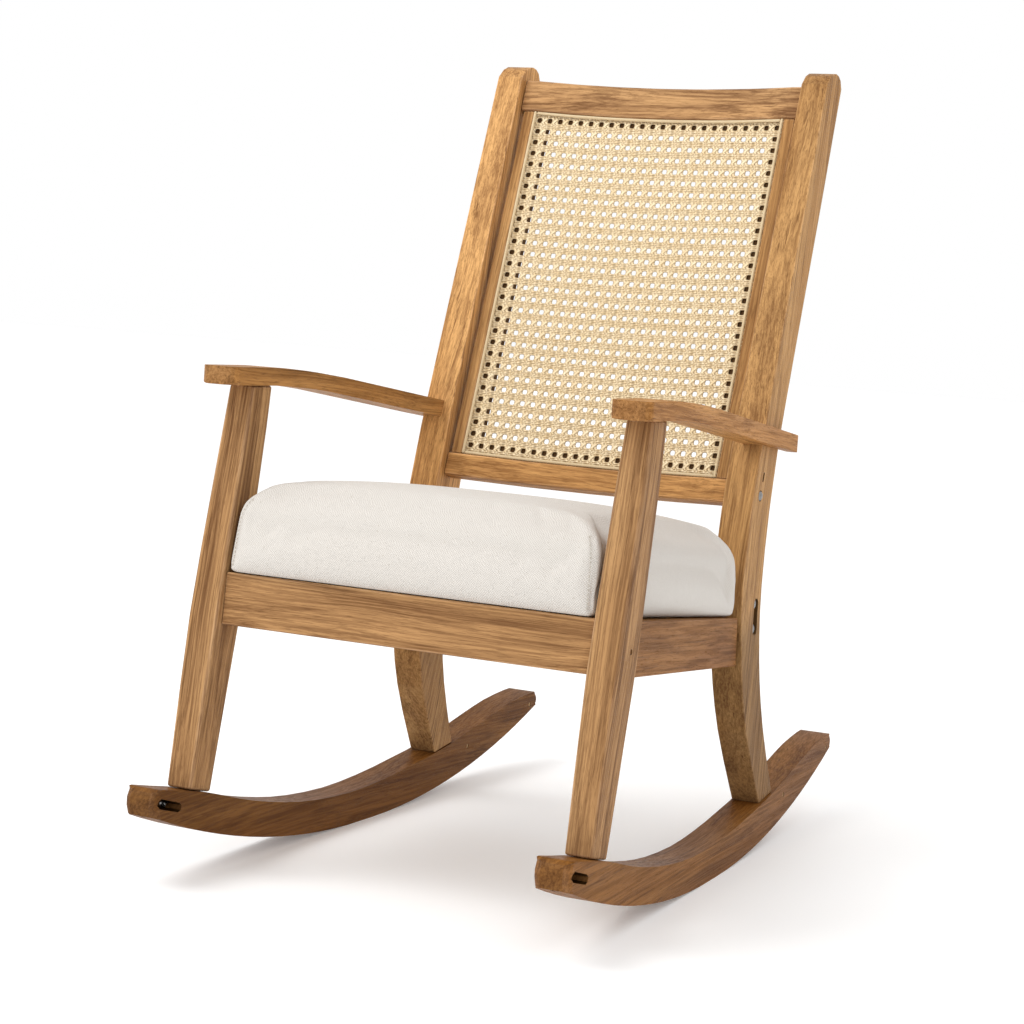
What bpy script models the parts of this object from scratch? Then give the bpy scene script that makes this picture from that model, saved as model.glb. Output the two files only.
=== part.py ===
"""Rocking chair in oak: two sawn side frames on rockers, a slatted seat carrying a loose
box cushion, and a bowed back of cane webbing held between two rails and two stiles.

Metres, +Z up, the chair faces -Y.  Left is the sitter's left hand (+X).  The origin lies on
the floor under the middle of the chair.
"""
import math

import bmesh
import bpy
from mathutils import Matrix, Vector

# ---------------------------------------------------------------- driving dimensions
GAP = 0.0003                 # clearance between touching pieces
ROUND = 0.0032               # softened edge of a sawn member
SMALL_ROUND = 0.0015         # softened edge of a small batten

ROCKER_RADIUS = 1.50         # floor curve of the rocker
ROCKER_FRONT = -0.539
ROCKER_REAR = 0.539
ROCKER_LOW = -0.012          # where the rocker touches the floor
ROCKER_PAD = 0.016           # half length of the flat the chair rests on
ROCKER_WIDTH = 0.045
ROCKER_NOSE = 0.009          # plan radius of the runner's end corners
ROCKER_X = 0.2567            # plan line of the rocker at y = 0
ROCKER_TOE = 0.022           # toe-in, radians
ROCKER_TOP = [(-0.524, 0.1215), (-0.485, 0.1140), (-0.425, 0.1030), (-0.370, 0.0885),
              (-0.313, 0.0745), (-0.236, 0.0600), (-0.160, 0.0505), (-0.063, 0.0458),
              (0.030, 0.0495), (0.127, 0.0585), (0.235, 0.0720), (0.352, 0.0950),
              (0.430, 0.1095), (0.500, 0.1165)]

LEG_X = 0.266
LEG_EDGES = [(0.096, -0.4600, -0.4110), (0.322, -0.4250, -0.3665),
             (0.552, -0.3760, -0.3275), (0.606, -0.3650, -0.3190)]
LEG_WIDTHS = [(0.096, 0.034), (0.322, 0.040), (0.552, 0.037), (0.606, 0.0345)]
LEG_TOP = 0.6052

POST_X = 0.2345              # upright part of the post
POST_SPLAY = 0.0165          # how far the foot spreads outward
POST_SPLAY_TOP = 0.500       # height where the spread begins
POST_EDGES = [(0.050, 0.198, 0.256), (0.172, 0.119, 0.191), (0.272, 0.085, 0.161),
              (0.372, 0.078, 0.158), (0.522, 0.111, 0.187), (0.622, 0.144, 0.2145),
              (0.922, 0.246, 0.316), (1.066, 0.295, 0.362)]
POST_WIDTHS = [(0.070, 0.040), (0.300, 0.0445), (0.622, 0.0425), (1.085, 0.0385)]
POST_CROWN = 0.020           # rounding of the post's head

ARM_X = 0.2717               # plan line of the arm at its front
ARM_FRONT = -0.417
ARM_REAR = 0.232
ARM_TOE = 0.0355
ARM_WIDTH = 0.050
ARM_NOSE = 0.015             # plan radius of the arm's front corners
ARM_TAIL = 0.010
ARM_EDGES = [(-0.417, 0.6055, 0.6280), (-0.345, 0.6055, 0.6280), (-0.300, 0.6052, 0.6278),
             (-0.220, 0.6010, 0.6232), (-0.110, 0.5905, 0.6132), (0.040, 0.5730, 0.5962),
             (0.232, 0.5530, 0.5765)]

SEAT_ORIGIN = (0.0, -0.4088, 0.3761)
SEAT_SLOPE = math.radians(4.95)
RAIL_HEIGHT = 0.065
RAIL_THICK = 0.022
SIDE_X = 0.2725              # plan line of the side rail at the front
SIDE_TOE = 0.0566
REAR_RAIL_Y = 0.545          # middle of the rear rail in the seat's own frame
REAR_RAIL_RISE = 0.034       # its top edge stands this far above the side rails
SEAT_BOLT_SPREAD = 0.034     # between the two bolts in each end of the rear rail
SEAT_BOLT_SUNK = 0.0052      # how far their heads lie below the post's face
SEAT_BOLT_POCKET = 0.0086    # half width of the pocket round the heads
SLAT_COUNT = 5
SLAT_WIDTH = 0.062
SLAT_THICK = 0.014
SLAT_FIRST = 0.086
SLAT_PITCH = 0.079
CLEAT = 0.018

BACK_ORIGIN = (0.0, 0.1240, 0.5150)
BACK_SLOPE = math.atan(0.3385)
BACK_OPENING = 0.5316        # height of the cane field between the rails
LOWER_RAIL_HEIGHT = 0.033
CREST_HEIGHT = 0.0485
BACK_THICK = 0.024
BACK_BOW = 0.013             # how far the rails bow backward
CREST_DIP = 0.0025           # sag of the crest at its middle
STILE_WIDTH = 0.0165
STILE_GROOVE = 0.0040        # shadow gap between post and stile
STILE_THICK = 0.018
CANE_THICK = 0.0022
CANE_SET = 0.0045
SPLINE_WIDTH = 0.0040
SPLINE_DEPTH = 0.0034

POCKET = [(-0.5335, 0.1035), (-0.5310, 0.1085), (-0.5250, 0.1105), (-0.4870, 0.1000),
          (-0.4815, 0.0960), (-0.4830, 0.0905), (-0.4890, 0.0885), (-0.5280, 0.0985)]

CUSHION_FRONT_HALF = 0.2425  # between the front legs
CUSHION_HALF = 0.2590        # over the side rails
CUSHION_NECK = (0.056, 0.104)  # where it widens behind the legs
CUSHION_FRONT = -0.006
CUSHION_REAR = 0.484
CUSHION_THICK = 0.106

# ---------------------------------------------------------------- joints and fastenings
# middles of the stub tenons, for the left side; the seat's and the back's in their own frames
LEG_TOP_JOINT = (0.268, -0.342, 0.6035)
LEG_FOOT_JOINT = (0.266, -0.4325, 0.098)
POST_FOOT_JOINT = (0.2515, 0.2130, 0.066)
FRONT_RAIL_JOINT = (0.2515, 0.0140)
SIDE_FRONT_JOINT_Y = 0.0520
SIDE_REAR_JOINT_Y = 0.4900
RAIL_JOINT_Z = -0.0330       # height of the seat rails' tenons
CREST_JOINT_X = 0.2150
RAIL_MIDDLE_Y = 0.0125       # middle of the back rails' thickness
# heights between which the ends of each cross rail are trimmed
FRONT_RAIL_ENDS = (0.311, 0.376)
REAR_RAIL_ENDS = (0.298, 0.363)
CREST_ENDS = (1.018, 1.064)
LOWER_RAIL_ENDS = (0.483, 0.515)
BOLT_HOLE = 0.0035
BOLT_REACH = 0.140
BOLT_POCKET_DEEP = 0.0100    # length of the cutter that makes a head's pocket
BOLT_POCKET_OUT = 0.0048     # how far out of the head's underside that cutter is centred
BACK_BOLT_SUNK = 0.0015
BACK_BOLT_POCKET = 0.0076
DOWEL_RADIUS = 0.0050
PIN_RADIUS = 0.0032
POST_FACE_INSET = 0.0213     # half width of the post where the stiles stand

# ---------------------------------------------------------------- materials
FINISHES = {
    "oak_light": ((0.56, 0.35, 0.18, 1.0), 0.42),
    "oak_warm": ((0.50, 0.29, 0.13, 1.0), 0.42),
    "oak_dark": ((0.40, 0.23, 0.11, 1.0), 0.45),
    "oak_hidden": ((0.60, 0.42, 0.26, 1.0), 0.60),
    "cane": ((0.83, 0.68, 0.42, 1.0), 0.55),
    "spline_reed": ((0.90, 0.78, 0.54, 1.0), 0.50),
    "linen": ((0.86, 0.83, 0.77, 1.0), 0.92),
    "steel": ((0.62, 0.62, 0.63, 1.0), 0.28),
}


def material(name):
    """Principled material in the colour the part has."""
    found = bpy.data.materials.get(name)
    if found:
        return found
    colour, rough = FINISHES[name]
    made = bpy.data.materials.new(name)
    made.use_nodes = True
    shader = made.node_tree.nodes["Principled BSDF"]
    shader.inputs["Base Color"].default_value = colour
    shader.inputs["Roughness"].default_value = rough
    shader.inputs["Metallic"].default_value = 1.0 if name == "steel" else 0.0
    made.diffuse_color = colour
    return made


# ---------------------------------------------------------------- scene bookkeeping
def clear_scene():
    for thing in list(bpy.data.objects):
        bpy.data.objects.remove(thing, do_unlink=True)


def collection(name):
    made = bpy.data.collections.new(name)
    bpy.context.scene.collection.children.link(made)
    return made


clear_scene()
PARTS = collection("rocking_chair")
CUTTERS = collection("cutters")


def sided(spot, s):
    """A place given for the left side, or its mirror image for s = -1."""
    return Matrix.Translation((s * spot[0], spot[1], spot[2]))


def empty(name, location, slope):
    """Frame the pieces of one assembly are drawn in; slope tips it about X."""
    made = bpy.data.objects.new(name, None)
    made.location = location
    made.rotation_euler = (slope, 0.0, 0.0)
    made.empty_display_size = 0.05
    PARTS.objects.link(made)
    return made


def add_part(name, mesh, look, frame=None, location=(0, 0, 0), turn=(0, 0, 0)):
    made = bpy.data.objects.new(name, mesh)
    made.location = location
    made.rotation_euler = turn
    made.parent = frame
    mesh.materials.append(material(look))
    PARTS.objects.link(made)
    return made


def matrix_of(thing):
    """World matrix from the object's own location and its frame's."""
    own = Matrix.LocRotScale(thing.location, thing.rotation_euler, thing.scale)
    return matrix_of(thing.parent) @ own if thing.parent else own


# ---------------------------------------------------------------- shapes
def smooth_line(points, steps=4):
    """Points of a smooth curve through the given ones, uniform between neighbours."""
    line = []
    last = len(points) - 1
    for i in range(last):
        before = Vector(points[max(i - 1, 0)])
        start, stop = Vector(points[i]), Vector(points[i + 1])
        after = Vector(points[min(i + 2, last)])
        for step in range(steps):
            t = step / steps
            spot = 0.5 * (2 * start + (stop - before) * t
                          + (2 * before - 5 * start + 4 * stop - after) * t * t
                          + (3 * start - before - 3 * stop + after) * t ** 3)
            line.append(tuple(spot))
    line.append(tuple(points[last]))
    return line


def at(stations, where):
    """Value read off a list of (position, value) stations."""
    low = stations[0]
    for high in stations[1:]:
        if where <= high[0]:
            share = (where - low[0]) / (high[0] - low[0])
            return low[1] + (high[1] - low[1]) * max(share, 0.0)
        low = high
    return low[1]


def board(outline, width):
    """Sawn board: a flat outline in the (y, z) plane, width across X."""
    curve = bpy.data.curves.new("outline", "CURVE")
    curve.dimensions = "2D"
    curve.fill_mode = "BOTH"
    curve.extrude = width / 2
    spline = curve.splines.new("POLY")
    spline.points.add(len(outline) - 1)
    for point, (y, z) in zip(spline.points, outline):
        point.co = (y, z, 0.0, 1.0)
    spline.use_cyclic_u = True
    drawn = bpy.data.objects.new("outline", curve)
    bpy.context.scene.collection.objects.link(drawn)
    bpy.context.view_layer.update()
    mesh = bpy.data.meshes.new_from_object(drawn)
    bpy.data.objects.remove(drawn)
    stand = Matrix(((0, 0, 1, 0), (1, 0, 0, 0), (0, 1, 0, 0), (0, 0, 0, 1)))
    mesh.transform(stand)
    tidy_mesh(mesh)
    return mesh


def tidy_mesh(mesh):
    """Weld the mesh and turn its faces outward."""
    work = bmesh.new()
    work.from_mesh(mesh)
    bmesh.ops.remove_doubles(work, verts=work.verts, dist=0.00001)
    bmesh.ops.recalc_face_normals(work, faces=work.faces)
    work.to_mesh(mesh)
    work.free()


def block(size, centre=(0, 0, 0)):
    """Rectangular block."""
    mesh = bpy.data.meshes.new("block")
    work = bmesh.new()
    place = Matrix.Translation(centre) @ Matrix.Diagonal((*size, 1.0))
    bmesh.ops.create_cube(work, size=1.0, matrix=place)
    work.to_mesh(mesh)
    work.free()
    return mesh


def rod(radius, length, segments=20, axis="X", centre=(0, 0, 0)):
    """Round rod along one axis."""
    mesh = bpy.data.meshes.new("rod")
    work = bmesh.new()
    turn = {"X": Matrix.Rotation(math.pi / 2, 4, "Y"), "Y": Matrix.Rotation(math.pi / 2, 4, "X"),
            "Z": Matrix.Identity(4)}[axis]
    bmesh.ops.create_cone(work, cap_ends=True, segments=segments, radius1=radius,
                          radius2=radius, depth=length, matrix=Matrix.Translation(centre) @ turn)
    work.to_mesh(mesh)
    work.free()
    return mesh


def trim(mesh, spot, outward):
    """Cut a closed mesh with a plane, drop the outward side and close the cut."""
    work = bmesh.new()
    work.from_mesh(mesh)
    faces = work.verts[:] + work.edges[:] + work.faces[:]
    cut = bmesh.ops.bisect_plane(work, geom=faces, plane_co=spot, plane_no=outward,
                                 clear_outer=True, dist=0.000001)
    rim = [e for e in cut["geom_cut"] if isinstance(e, bmesh.types.BMEdge)]
    bmesh.ops.contextual_create(work, geom=rim)
    bmesh.ops.recalc_face_normals(work, faces=work.faces)
    work.to_mesh(mesh)
    work.free()


def trim_world(piece, spot, outward):
    """The same cut given in world coordinates for a placed piece."""
    back = matrix_of(piece).inverted()
    spot, outward = Vector(spot), Vector(outward)
    trim(piece.data, back @ spot, (back.to_3x3() @ outward).normalized())


def soften(piece, radius=ROUND, segments=2, angle=35):
    made = piece.modifiers.new("soft_edges", "BEVEL")
    made.width = radius
    made.segments = segments
    made.limit_method = "ANGLE"
    made.angle_limit = math.radians(angle)
    made.use_clamp_overlap = True
    return made


def cutter(name, mesh, place):
    made = bpy.data.objects.new(name, mesh)
    made.matrix_world = place
    made.hide_render = True
    made.display_type = "WIRE"
    CUTTERS.objects.link(made)
    return made


def boolean(piece, tool, operation):
    made = piece.modifiers.new(operation.lower(), "BOOLEAN")
    made.operation = operation
    made.solver = "EXACT"
    made.object = tool
    return made


def tenon(male, female, place, size, name):
    """Stub tenon grown on one piece and its mortise cut in the other."""
    boolean(male, cutter(name + "_tenon", block(size), place), "UNION")
    loose = tuple(side + 2 * GAP for side in size)
    boolean(female, cutter(name + "_mortise", block(loose), place), "DIFFERENCE")


def bore(piece, place, radius, length, name, axis="X", segments=20):
    boolean(piece, cutter(name, rod(radius, length, segments, axis), place), "DIFFERENCE")


def smooth_sides(piece):
    for face in piece.data.polygons:
        face.use_smooth = True
    piece.data.set_sharp_from_angle(angle=math.radians(35))


def round_end(mesh, low, high, radius, segments=4):
    """Round, in plan, the corner edges of a board that lie between two places along Y."""
    work = bmesh.new()
    work.from_mesh(mesh)
    corners = []
    for edge in work.edges:
        a, b = edge.verts[0].co, edge.verts[1].co
        if low < min(a.y, b.y) and max(a.y, b.y) < high and abs(a.x - b.x) < 0.0001:
            corners.append(edge)
    bmesh.ops.bevel(work, geom=corners, offset=radius, segments=segments, profile=0.5,
                    affect="EDGES")
    work.to_mesh(mesh)
    work.free()


SIDES = (("left", 1), ("right", -1))


# ---------------------------------------------------------------- side frames
def rocker_height(y):
    """Height of the rocker's top edge at a place along it."""
    return at(smooth_line(ROCKER_TOP, 2), y)


def cut_foot(mesh, front, rear):
    """Cut a member's foot with the plane that just clears the rocker's top edge."""
    span = [front + (rear - front) * i / 8 for i in range(9)]
    low, high = rocker_height(front), rocker_height(rear)
    rise = max(rocker_height(y) - (low + (high - low) * (y - front) / (rear - front))
               for y in span) + GAP + 0.0001
    trim(mesh, (0, front, low + rise), (0, high - low, front - rear))


def floor_curve(y):
    """Underside of the rocker: an arc with a short flat where the chair stands."""
    reach = max(abs(y - ROCKER_LOW) - ROCKER_PAD, 0.0)
    return ROCKER_RADIUS - math.sqrt(ROCKER_RADIUS ** 2 - reach ** 2)


def rocker_outline():
    low = [ROCKER_LOW - ROCKER_PAD, ROCKER_LOW + ROCKER_PAD]
    front = [ROCKER_FRONT + 0.004 + 0.036 * i for i in range(14)]
    rear = [ROCKER_REAR - 0.008 - 0.037 * i for i in range(14)]
    under = sorted([y for y in front if y < low[0] - 0.01] + low
                   + [y for y in rear if y > low[1] + 0.01])
    line = [(y, floor_curve(y)) for y in under]
    nose_rear = [(ROCKER_REAR - 0.001, 0.0985), (ROCKER_REAR, 0.104), (ROCKER_REAR - 0.001, 0.110),
                 (ROCKER_REAR - 0.006, 0.1150), (ROCKER_REAR - 0.016, 0.1175)]
    nose_front = [(ROCKER_FRONT + 0.010, 0.1215), (ROCKER_FRONT + 0.004, 0.1180),
                  (ROCKER_FRONT, 0.1100), (ROCKER_FRONT, 0.0990)]
    top = list(reversed(smooth_line(ROCKER_TOP, 2)))
    return line + nose_rear + top + nose_front


def bent(outline_edges, steps=3):
    """Closed outline of an upright member from (height, front, rear) stations."""
    front = smooth_line([(f, z) for z, f, r in outline_edges], steps)
    rear = smooth_line([(r, z) for z, f, r in outline_edges], steps)
    return front, rear


def taper(mesh, widths, shift):
    """Give a board of unit width its width and sideways shift at every height."""
    for vertex in mesh.vertices:
        height = vertex.co.z
        vertex.co.x = shift(height) + vertex.co.x * at(widths, height)


def post_shift(height):
    drop = max(POST_SPLAY_TOP - height, 0.0) / (POST_SPLAY_TOP - 0.07)
    return POST_X + POST_SPLAY * drop ** 1.3


def post_front(height):
    return at([(z, y) for y, z in bent(POST_EDGES)[0]], height)


def post_outline():
    front, rear = bent(POST_EDGES)
    top_front, top_rear = Vector(front[-1]), Vector(rear[-1])
    rise = Vector((math.sin(BACK_SLOPE), math.cos(BACK_SLOPE)))
    head = []
    for turn in range(1, 6):
        share = turn / 6
        bulge = math.sin(math.pi * share) ** 0.6
        head.append(tuple(top_front.lerp(top_rear, share) + rise * POST_CROWN * bulge))
    return front + head + list(reversed(rear))


def move_origin(mesh, spot):
    mesh.transform(Matrix.Translation(-Vector(spot)))


rockers, legs, posts, arms = {}, {}, {}, {}
for side, s in SIDES:
    mesh = board(rocker_outline(), ROCKER_WIDTH)
    round_end(mesh, ROCKER_FRONT - 0.001, ROCKER_FRONT + 0.0045, ROCKER_NOSE)
    round_end(mesh, ROCKER_REAR - 0.0065, ROCKER_REAR + 0.001, ROCKER_NOSE)
    rocker = add_part("rocker_" + side, mesh, "oak_dark",
                      location=(s * ROCKER_X, 0, 0), turn=(0, 0, s * ROCKER_TOE))
    soften(rocker)
    rockers[side] = rocker

    front, rear = bent(LEG_EDGES)
    mesh = board(front + list(reversed(rear)), 1.0)
    taper(mesh, LEG_WIDTHS, lambda height: 0.0)
    cut_foot(mesh, -0.457, -0.408)
    trim(mesh, (0, 0, LEG_TOP), (0, 0, 1))
    move_origin(mesh, (0, -0.43, 0.11))
    leg = add_part("front_leg_" + side, mesh, "oak_light", location=(s * LEG_X, -0.43, 0.11))
    soften(leg)
    legs[side] = leg

    mesh = board(post_outline(), 1.0)
    taper(mesh, POST_WIDTHS, lambda height: s * post_shift(height))
    cut_foot(mesh, 0.182, 0.244)
    move_origin(mesh, (s * POST_X, 0.2, 0.08))
    post = add_part("back_post_" + side, mesh, "oak_light", location=(s * POST_X, 0.2, 0.08))
    soften(post, 0.0028)
    posts[side] = post

    lower = smooth_line([(y, z) for y, z, top in ARM_EDGES], 3)
    upper = smooth_line([(y, top) for y, z, top in ARM_EDGES], 3)
    mesh = board(lower + list(reversed(upper)), ARM_WIDTH)
    round_end(mesh, ARM_FRONT - 0.001, ARM_FRONT + 0.001, ARM_NOSE, 5)
    round_end(mesh, ARM_REAR - 0.001, ARM_REAR + 0.001, ARM_TAIL)
    move_origin(mesh, (0, ARM_FRONT, 0.61))
    arm = add_part("arm_" + side, mesh, "oak_warm", location=(s * ARM_X, ARM_FRONT, 0.61),
                   turn=(0, 0, s * ARM_TOE))
    soften(arm, 0.0055, 3)
    arms[side] = arm

    # the arm laps the outer face of the post and butts its front face
    heights = (0.50, 0.54, 0.58, 0.62, 0.66)
    notch = [(post_front(z) - GAP, z) for z in heights] + [(0.34, 0.66), (0.34, 0.50)]
    reach = 0.16
    inner = post_shift(0.58) + at(POST_WIDTHS, 0.58) / 2 + GAP + 0.0001
    place = Matrix.Translation((s * (inner - reach / 2), 0, 0))
    boolean(arm, cutter("arm_notch_" + side, board(notch, reach), place), "DIFFERENCE")

    # stub tenons: leg into arm, leg into rocker, post into rocker
    tenon(leg, arm, sided(LEG_TOP_JOINT, s), (0.018, 0.024, 0.024),
          "leg_top_" + side)
    tenon(leg, rocker, sided(LEG_FOOT_JOINT, s), (0.016, 0.026, 0.040),
          "leg_foot_" + side)
    tenon(post, rocker, sided(POST_FOOT_JOINT, s), (0.018, 0.034, 0.044),
          "post_foot_" + side)

# ---------------------------------------------------------------- seat frame
seat = empty("seat_frame", SEAT_ORIGIN, -SEAT_SLOPE)
seat_matrix = matrix_of(seat)


def seat_spot(x, y, z):
    return seat_matrix @ Vector((x, y, z))


def side_centre(y):
    """Plan line of the side rail in the seat's frame."""
    return SIDE_X - SIDE_TOE * (y - 0.05)


def flank(widths, shift, heights):
    """Two points of an upright member's inner face, for cutting rail ends parallel to it."""
    return [Vector((shift(z) - at(widths, z) / 2 - GAP, 0, z)) for z in heights]


def cut_rail_ends(piece, widths, shift, heights):
    """Trim both ends of a cross rail to the inner faces of its two uprights."""
    low, high = flank(widths, shift, heights)
    run = high - low
    for s in (1, -1):
        spot = Vector((s * low.x, 0, low.z))
        trim_world(piece, spot, (s * run.z, 0, -run.x))


front_rail = add_part("front_seat_rail", block((0.60, 0.024, RAIL_HEIGHT)), "oak_warm",
                      frame=seat, location=(0, 0.0125, -RAIL_HEIGHT / 2))
cut_rail_ends(front_rail, LEG_WIDTHS, lambda z: LEG_X, FRONT_RAIL_ENDS)
soften(front_rail, 0.0022)

rear_rail = add_part("rear_seat_rail", block((0.60, 0.024, RAIL_HEIGHT)), "oak_warm",
                     frame=seat, location=(0, REAR_RAIL_Y, REAR_RAIL_RISE - RAIL_HEIGHT / 2))
cut_rail_ends(rear_rail, POST_WIDTHS, post_shift, REAR_RAIL_ENDS)
soften(rear_rail, 0.0022)

side_rails = {}
for side, s in SIDES:
    rail = add_part("side_seat_rail_" + side, block((RAIL_THICK, 0.60, RAIL_HEIGHT)), "oak_warm",
                    frame=seat, location=(s * side_centre(0.27), 0.27, -RAIL_HEIGHT / 2),
                    turn=(0, 0, s * SIDE_TOE))
    leg_rear = [(z, y) for y, z in bent(LEG_EDGES)[1]]
    low, high = Vector((0, at(leg_rear, 0.306), 0.306)), Vector((0, at(leg_rear, 0.374), 0.374))
    run = high - low
    trim_world(rail, low + Vector((0, GAP, 0)), (0, -run.z, run.y))
    low, high = Vector((0, post_front(0.272), 0.272)), Vector((0, post_front(0.336), 0.336))
    run = high - low
    rail_end = Vector((0, min(low.y, post_front(0.300), high.y) - GAP, low.z))
    trim_world(rail, rail_end, (0, run.z, -run.y))
    soften(rail, 0.0022)
    side_rails[side] = rail

    turn = Matrix.Rotation(-SEAT_SLOPE, 4, "X")
    spot = seat_spot(s * FRONT_RAIL_JOINT[0], FRONT_RAIL_JOINT[1], RAIL_JOINT_Z)
    tenon(front_rail, legs[side], Matrix.Translation(spot) @ turn, (0.030, 0.010, 0.040),
          "front_rail_" + side)
    spot = seat_spot(s * side_centre(SIDE_FRONT_JOINT_Y), SIDE_FRONT_JOINT_Y, RAIL_JOINT_Z)
    tenon(rail, legs[side], Matrix.Translation(spot) @ turn, (0.010, 0.030, 0.040),
          "side_front_" + side)
    spot = seat_spot(s * side_centre(SIDE_REAR_JOINT_Y), SIDE_REAR_JOINT_Y, RAIL_JOINT_Z)
    tenon(rail, posts[side], Matrix.Translation(spot) @ turn, (0.010, 0.034, 0.040),
          "side_rear_" + side)

# slats lie on cleats screwed inside the side rails
slat_ys = [SLAT_FIRST + SLAT_PITCH * i for i in range(SLAT_COUNT)]
slat_top = -0.0015
for number, y in enumerate(slat_ys, 1):
    half = side_centre(y + SLAT_WIDTH / 2) - RAIL_THICK / 2 - 0.0010
    slat = add_part("seat_slat_%d" % number, block((2 * half, SLAT_WIDTH, SLAT_THICK)),
                    "oak_hidden", frame=seat, location=(0, y, slat_top - SLAT_THICK / 2))
    soften(slat, SMALL_ROUND, 1)
cleat_top = slat_top - SLAT_THICK - GAP
for side, s in SIDES:
    y = 0.245
    x = side_centre(y) - RAIL_THICK / 2 - CLEAT / 2 - 2 * GAP
    cleat = add_part("seat_cleat_" + side, block((CLEAT, 0.250, CLEAT)), "oak_hidden", frame=seat,
                     location=(s * x, y, cleat_top - CLEAT / 2), turn=(0, 0, s * SIDE_TOE))
    soften(cleat, SMALL_ROUND, 1)


def flat_block(name, corners, top, thick):
    """Corner block: a flat outline in plan, thick downward from its top."""
    curve = board([(y, x) for x, y in corners], thick)
    lay = Matrix(((0, 0, 1, 0), (0, 1, 0, 0), (1, 0, 0, 0), (0, 0, 0, 1)))
    curve.transform(lay)
    curve.transform(Matrix.Translation((0, 0, top - thick / 2)))
    tidy_mesh(curve)
    return add_part(name, curve, "oak_hidden", frame=seat)


for side, s in SIDES:
    inner = RAIL_THICK / 2 + 0.0008
    corner = [(0.165, 0.0252), (0.2435, 0.0252), (0.2435, 0.0560 + 0.002)]
    corner += [(side_centre(0.058) - inner, 0.058), (side_centre(0.104) - inner, 0.104)]
    front_block = flat_block("corner_block_front_" + side, [(s * x, y) for x, y in corner],
                             cleat_top, 0.030)
    soften(front_block, SMALL_ROUND, 1)
    y_front = REAR_RAIL_Y - 0.0128
    post_inner = post_shift(0.29) - at(POST_WIDTHS, 0.29) / 2 - 0.0012
    corner = [(0.140, y_front), (post_inner, y_front), (post_inner, 0.4820)]
    corner += [(side_centre(0.482) - inner, 0.482), (side_centre(0.440) - inner, 0.440)]
    rear_block = flat_block("corner_block_rear_" + side, [(s * x, y) for x, y in corner],
                            cleat_top, 0.030)
    soften(rear_block, SMALL_ROUND, 1)

# ---------------------------------------------------------------- bowed cane back
back = empty("back_frame", BACK_ORIGIN, -BACK_SLOPE)
back_matrix = matrix_of(back)


def back_spot(x, y, z):
    return back_matrix @ Vector((x, y, z))


def bow(x):
    """Backward bow of the rails at a place across the back."""
    return BACK_BOW * (1.0 - min(abs(x) / 0.210, 1.0) ** 2)


def bowed_bar(size, centre, cuts=14, dip=0.0):
    """Bar across the back, bent backward by the bow."""
    mesh = block(size, centre)
    work = bmesh.new()
    work.from_mesh(mesh)
    for i in range(1, cuts):
        x = centre[0] - size[0] / 2 + size[0] * i / cuts
        geom = work.verts[:] + work.edges[:] + work.faces[:]
        bmesh.ops.bisect_plane(work, geom=geom, plane_co=(x, 0, 0), plane_no=(1, 0, 0))
    for vertex in work.verts:
        vertex.co.y += bow(vertex.co.x)
        vertex.co.z -= dip * bow(vertex.co.x) / BACK_BOW
    work.to_mesh(mesh)
    work.free()
    return mesh


crest_z = BACK_OPENING + CREST_HEIGHT / 2
crest = add_part("crest_rail", bowed_bar((0.460, BACK_THICK, CREST_HEIGHT),
                 (0, BACK_THICK / 2, crest_z), dip=CREST_DIP), "oak_light", frame=back)
cut_rail_ends(crest, POST_WIDTHS, post_shift, CREST_ENDS)
soften(crest, 0.0030)
lower_rail = add_part("lower_back_rail", bowed_bar((0.460, BACK_THICK, LOWER_RAIL_HEIGHT),
                      (0, BACK_THICK / 2, -LOWER_RAIL_HEIGHT / 2)), "oak_warm", frame=back)
cut_rail_ends(lower_rail, POST_WIDTHS, post_shift, LOWER_RAIL_ENDS)
soften(lower_rail, 0.0026)

lean = Matrix.Rotation(-BACK_SLOPE, 4, "X")
for side, s in SIDES:
    spot = back_spot(s * CREST_JOINT_X, RAIL_MIDDLE_Y, crest_z)
    tenon(crest, posts[side], Matrix.Translation(spot) @ lean, (0.034, 0.011, 0.028),
          "crest_" + side)

    # stile with a shadow gap to the post, from rail to rail
    x = POST_X - POST_FACE_INSET - STILE_GROOVE - STILE_WIDTH / 2
    length = BACK_OPENING - 2 * GAP - 0.0006
    stile = add_part("cane_stile_" + side, block((STILE_WIDTH, STILE_THICK, length)), "oak_light",
                     frame=back, location=(s * x, bow(x) + 0.0015 + STILE_THICK / 2,
                                           BACK_OPENING / 2 - 0.0003))
    soften(stile, 0.0020)

stile_inner = POST_X - POST_FACE_INSET - STILE_GROOVE - STILE_WIDTH
field = stile_inner - 0.0004


def cane_sheet():
    """Webbing drawn as a thin bowed sheet filling the opening."""
    mesh = bpy.data.meshes.new("sheet")
    work = bmesh.new()
    columns, rows = 16, 2
    bmesh.ops.create_grid(work, x_segments=columns, y_segments=rows, size=0.5)
    for vertex in work.verts:
        x, z = vertex.co.x * 2 * field, vertex.co.y
        gap = 0.0006
        vertex.co = (x, bow(x) + CANE_SET, gap + (z + 0.5) * (BACK_OPENING - 2 * gap - CREST_DIP))
    bmesh.ops.recalc_face_normals(work, faces=work.faces)
    work.to_mesh(mesh)
    work.free()
    return mesh


panel = add_part("cane_panel", cane_sheet(), "cane", frame=back)
thick = panel.modifiers.new("thickness", "SOLIDIFY")
thick.thickness = CANE_THICK
thick.offset = 0.0

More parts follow.
